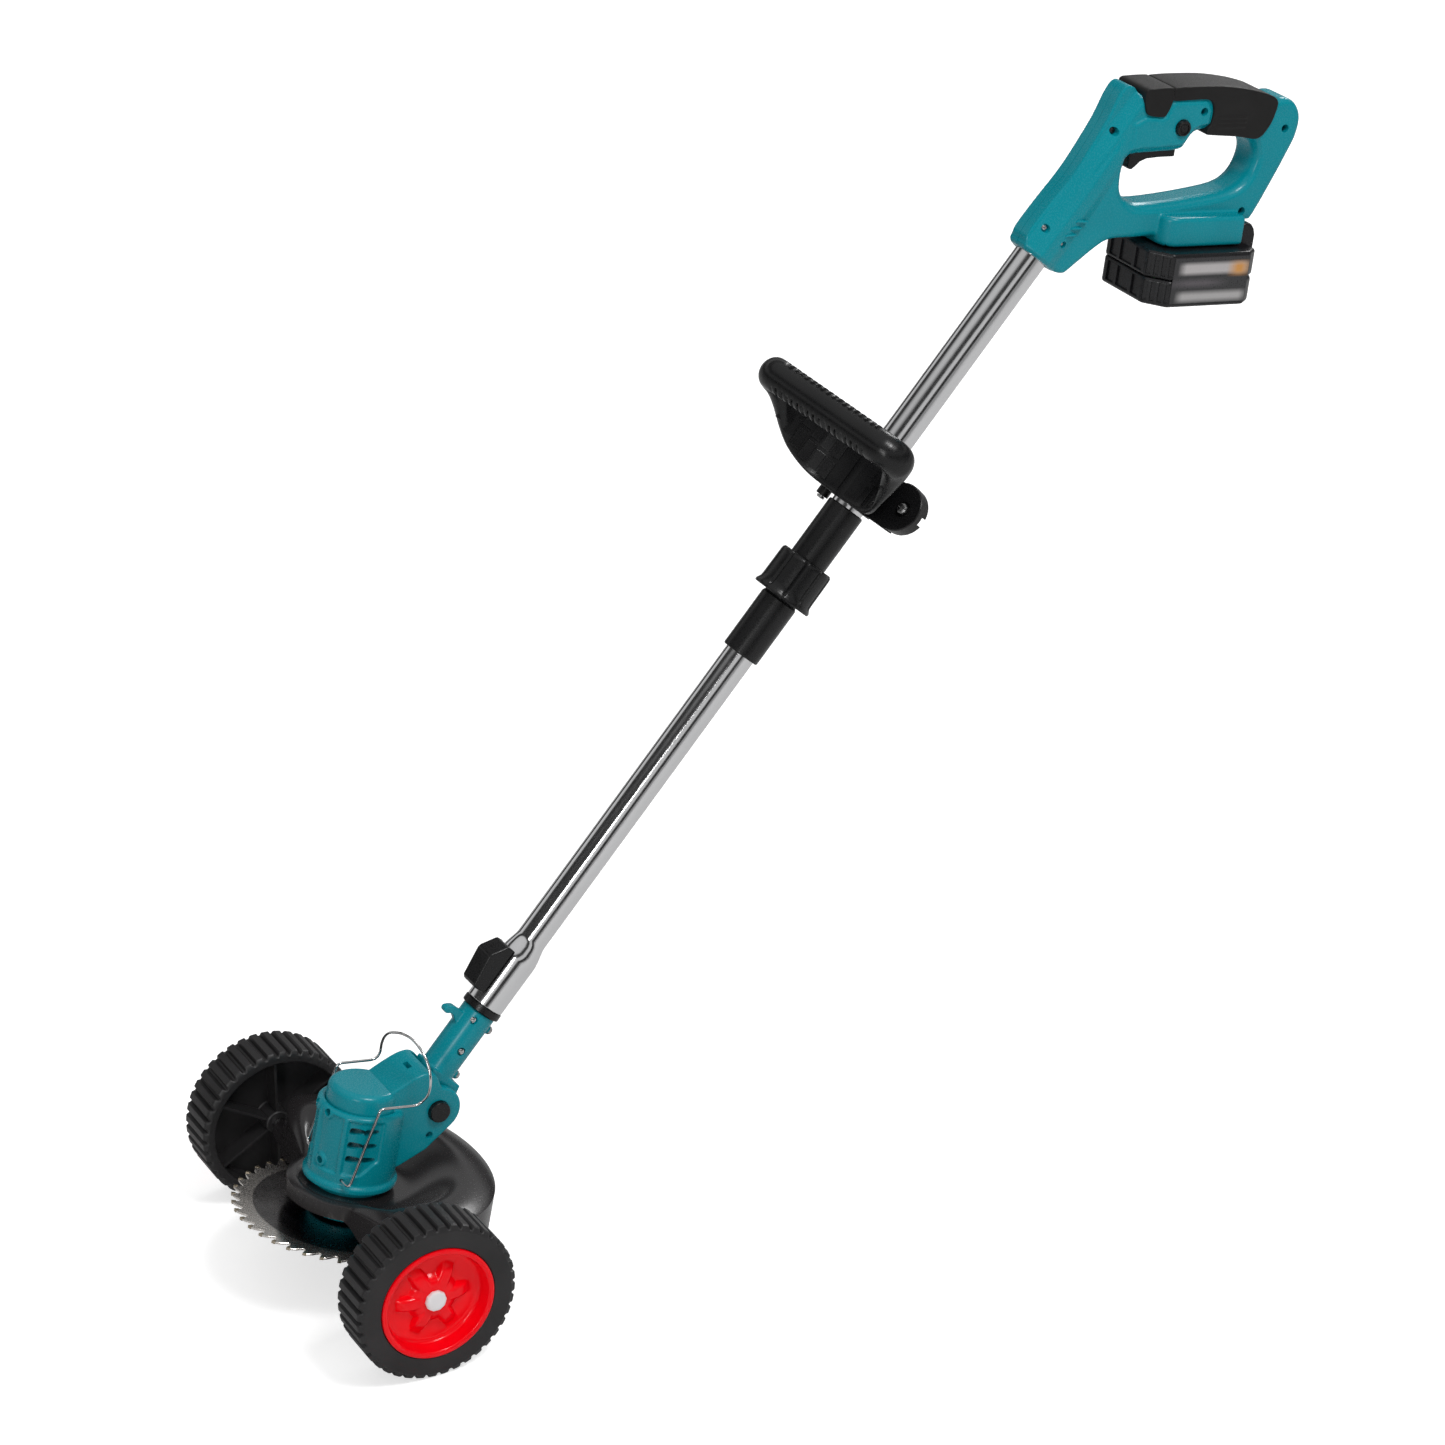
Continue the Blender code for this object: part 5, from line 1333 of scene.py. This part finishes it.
def build_battery():
    """Slide-on battery: ribbed tray, lid with its rails and rear hump, and a plain panel on each side."""
    tray = shape("battery_tray", prism(battery_plan(), 0, 22, "Z"), "handle", "battery")
    bevel(tray, 3.0, 5)
    cut(tray, shape("cut_cells_low", block((-32.5, 32.5), (6.4, 93), (4, 40)), "handle"))
    lid = shape("battery_lid", prism(battery_plan(), 22.3, 44, "Z"), "handle", "battery")
    bevel(lid, 2.4, 4, 30)
    hump = shape("join_hump",
                 prism([(89.2, 30), (89.2, 59.5), (92, 62), (98, 61), (101.5, 56.5), (103, 52), (103, 40),
                        (100, 26)],
                                    -26, 26), "handle")
    bevel(hump, 2.0, 4)
    join(lid, shape("join_rail", block((-25, 25), (23, 89.5), (40, 60)), "handle"), hump)
    lid_cuts = [block((-14, 14), (10, 70), (54, 70)), block((-32.5, 32.5), (6.4, 93), (4, 40)),
                block((-15, 15), (92, 120), (44, 58))]
    cut(lid, *(shape("cut_lid_%d" % index, bm, "handle") for index, bm in enumerate(lid_cuts)))
    # grip grooves on the sloping corners and the front of both halves
    grooves = {"tray": [], "lid": []}
    for label, low, high in (("tray", 3.5, 19.5), ("lid", 25.0, 41.5)):
        for sign in (-1, 1):
            for place in (0.12, 0.40, 0.68, 0.94):
                groove = block((-1.9, 1.9), (-1.5, 1.5), (low, high))
                turn = Matrix.Rotation(sign * math.atan2(15, 16), 3, "Z")
                bmesh.ops.rotate(groove, verts=groove.verts, cent=(0, 0, 0), matrix=turn)
                bmesh.ops.translate(groove, verts=groove.verts, vec=(sign * (28 + 16 * place), 15 * place, 0))
                grooves[label].append(groove)
        for x, half in ((-17.5, 5.2), (0, 8.6), (17.5, 5.2)):
            grooves[label].append(block((x - half, x + half), (-2, 1.5), (low, high)))
    cut(tray, shape("cut_tray_grooves", together(*grooves["tray"]), "handle"))
    cut(lid, shape("cut_lid_grooves", together(*grooves["lid"]), "handle"))
    for piece, node_name in ((tray, "battery_tray"), (lid, "battery_lid")):
        crisp(piece, 32)
        finish(piece, "battery", "black_plastic", node_name)
    for side, sign in (("right", 1), ("left", -1)):
        panel = block(sorted((sign * 43.4, sign * 44.35)), (16.5, 88), (3.6, 41))
        panel = shape("side_panel_" + side, panel, "handle", "panel")
        bevel(panel, 0.3, 2)
        crisp(panel)
        finish(panel, "battery", "black_plastic")
    latch = [(95.6, 45), (95.6, 57.5), (100.4, 57.5), (102.4, 55.6), (104.6, 49.6), (105, 47.4), (105, 45)]
    latch = shape("battery_release", prism(latch, -14.6, 14.6), "handle", "teal")
    bevel(latch, 0.9, 3)
    crisp(latch)
    finish(latch, "battery_release", "teal_plastic", "battery_release")


def panel_look():
    """Side panel: two soft pale bands on black, with an amber patch at the rear end of the upper one."""
    made = surface("side_panel", (0.03, 0.03, 0.032), (0.036, 0.036, 0.038), (0.25, 0.4), depth=0.01)
    tree = made.node_tree
    shader = tree.nodes["Principled BSDF"]
    split = tree.nodes.new("ShaderNodeSeparateXYZ")
    tree.links.new(tree.nodes.new("ShaderNodeTexCoord").outputs["Object"], split.inputs["Vector"])

    def window(axis, low, high, edge):
        rise = mapped(tree, split.outputs[axis], 0, 1, (low - edge) * MM, (low + edge) * MM)
        fall = mapped(tree, split.outputs[axis], 1, 0, (high - edge) * MM, (high + edge) * MM)
        return product(tree, rise, fall)

    colour = shader.inputs["Base Color"].links[0].from_socket
    ends = window("Y", 24, 86, 4.0)
    layers = (
        (product(tree, window("Z", 27.6, 36.2, 1.8), ends), (0.46, 0.44, 0.44)),
        (product(tree, window("Z", 5.4, 12.4, 2.2), ends), (0.40, 0.39, 0.39)),
        (product(tree, window("Z", 17.5, 22.5, 2.2), window("Y", 20, 60, 12.0)), (0.10, 0.09, 0.10)),
        (product(tree, window("Z", 26.4, 36.0, 2.6), window("Y", 72, 86, 5.0)), (0.60, 0.28, 0.07)),
    )
    for factor, tint in layers:
        mix = tree.nodes.new("ShaderNodeMix")
        mix.data_type = "RGBA"
        mix.inputs["B"].default_value = (*tint, 1.0)
        tree.links.new(factor, mix.inputs["Factor"])
        tree.links.new(colour, mix.inputs["A"])
        colour = mix.outputs["Result"]
    tree.links.new(colour, shader.inputs["Base Color"])
    return made


def product(tree, first, second):
    made = tree.nodes.new("ShaderNodeMath")
    made.operation = "MULTIPLY"
    tree.links.new(first, made.inputs[0])
    tree.links.new(second, made.inputs[1])
    return made.outputs["Value"]


LOOKS["panel"] = panel_look()


# ---------------------------------------------------------------- clamp

def build_clamp():
    """Hinged jaw of the loop handle's clamp, with its pin and screw."""
    low, high = CLAMP_LOW, CLAMP_HIGH
    jaw = shape("clamp_jaw", prism(arc((0, 0), CLAMP_R, 1, 179, 60), low, high, "Z"), "loop", "black")
    tip = [(0, 0.45), (19.5, 0.45), (19.5, 5.6), (18.6, 6.5), (16.6, 6.5), (16.0, 5.7), (9.0, 5.7),
           (8.4, 6.5), (0, 6.5)]
    shapes = [
        shape("join_jaw_ear", block((14, 44), (0.45, 6.2), (low + 0.7, high - 0.7)), "loop"),
        shape("join_jaw_tip", turned(tip, 72, "Y", (EAR_X, 0, CLAMP_S)), "loop"),
        shape("join_jaw_knuckle", rod(5.4, low + 10.4, high - 12.4, 48, "Z", CLAMP_PIN), "loop"),
        shape("join_jaw_bridge", block((-26, -15), (0.45, 3.9), (low + 11, high - 13)), "loop"),
    ]
    join(jaw, *shapes)
    holes = [
        shape("cut_jaw_tube", rod(CLAMP_BORE, 480, 580, 96), "loop"),
        shape("cut_jaw_pin", rod(PIN_BORE, 480, 580, 32, "Z", CLAMP_PIN), "loop"),
        shape("cut_jaw_slot", block((45.5, 80), (-10, 20), (CLAMP_S - 3.4, CLAMP_S + 3.4)), "loop"),
    ]
    cut(jaw, *holes)
    crisp(jaw)
    finish(jaw, "clamp_jaw", "black_plastic", "clamp_jaw")
    pin = [(0, low - 8.6), (2.6, low - 8.6), (3.4, low - 7.9), (3.4, low - 6.3), (2.0, low - 6.3),
           (2.0, high + 1), (0, high + 1)]
    pin = turned(pin, 48)
    bmesh.ops.translate(pin, verts=pin.verts, vec=CLAMP_PIN)
    pin = shape("clamp_pin", pin, "loop", "steel")
    crisp(pin)
    finish(pin, "loop_handle", "fastener_steel", "clamp_pin")
    shank = [(0, -10.6), (2.6, -10.5), (4.0, -9.8), (4.4, -8.9), (4.4, -7.3), (2.2, -7.3), (2.2, 6.0),
             (0, 6.0)]
    screw = shape("clamp_screw", turned(shank, 48, "Y", (CLAMP_SCREW_X, 0, CLAMP_S)), "loop", "steel")
    cut(screw, shape("cut_clamp_cross", cross(1.1, 4.4, -14, -9.4, "Y", (CLAMP_SCREW_X, 0, CLAMP_S)), "loop"))
    crisp(screw)
    finish(screw, "loop_handle", "fastener_steel", "clamp_screw")


# ---------------------------------------------------------------- build

def dress_all():
    looks = {
        "teal_plastic": "teal", "black_plastic": "black", "gloss_black": "gloss", "soft_grip": "rubber",
        "wheel_rubber": "tyre", "red_hub": "red", "polished_tube": "tube", "blade_steel": "blade",
        "fastener_steel": "steel", "chrome_wire": "chrome", "grey_nylon": "nylon", "cell_wrap": "cells",
    }
    for row in frame["record"]["subparts"]:
        dress(row["node"], looks[row["material_slot"]])


build_stage()
build_camera()
dress_all()
for side, sign in (("right", 1), ("left", -1)):
    build_tyre(side, sign)
    build_hub(side, sign)
    build_axle(side, sign)
build_tubes()
build_sleeve()
build_release_button()
build_loop()
build_housing()
build_cap()
build_pivot()
build_guard()
build_blade()
build_shield()
build_neck()
build_handle()
build_grip()
build_trigger_group()
build_battery()
build_clamp()

for helper in HIDDEN:
    bpy.data.objects.remove(helper)
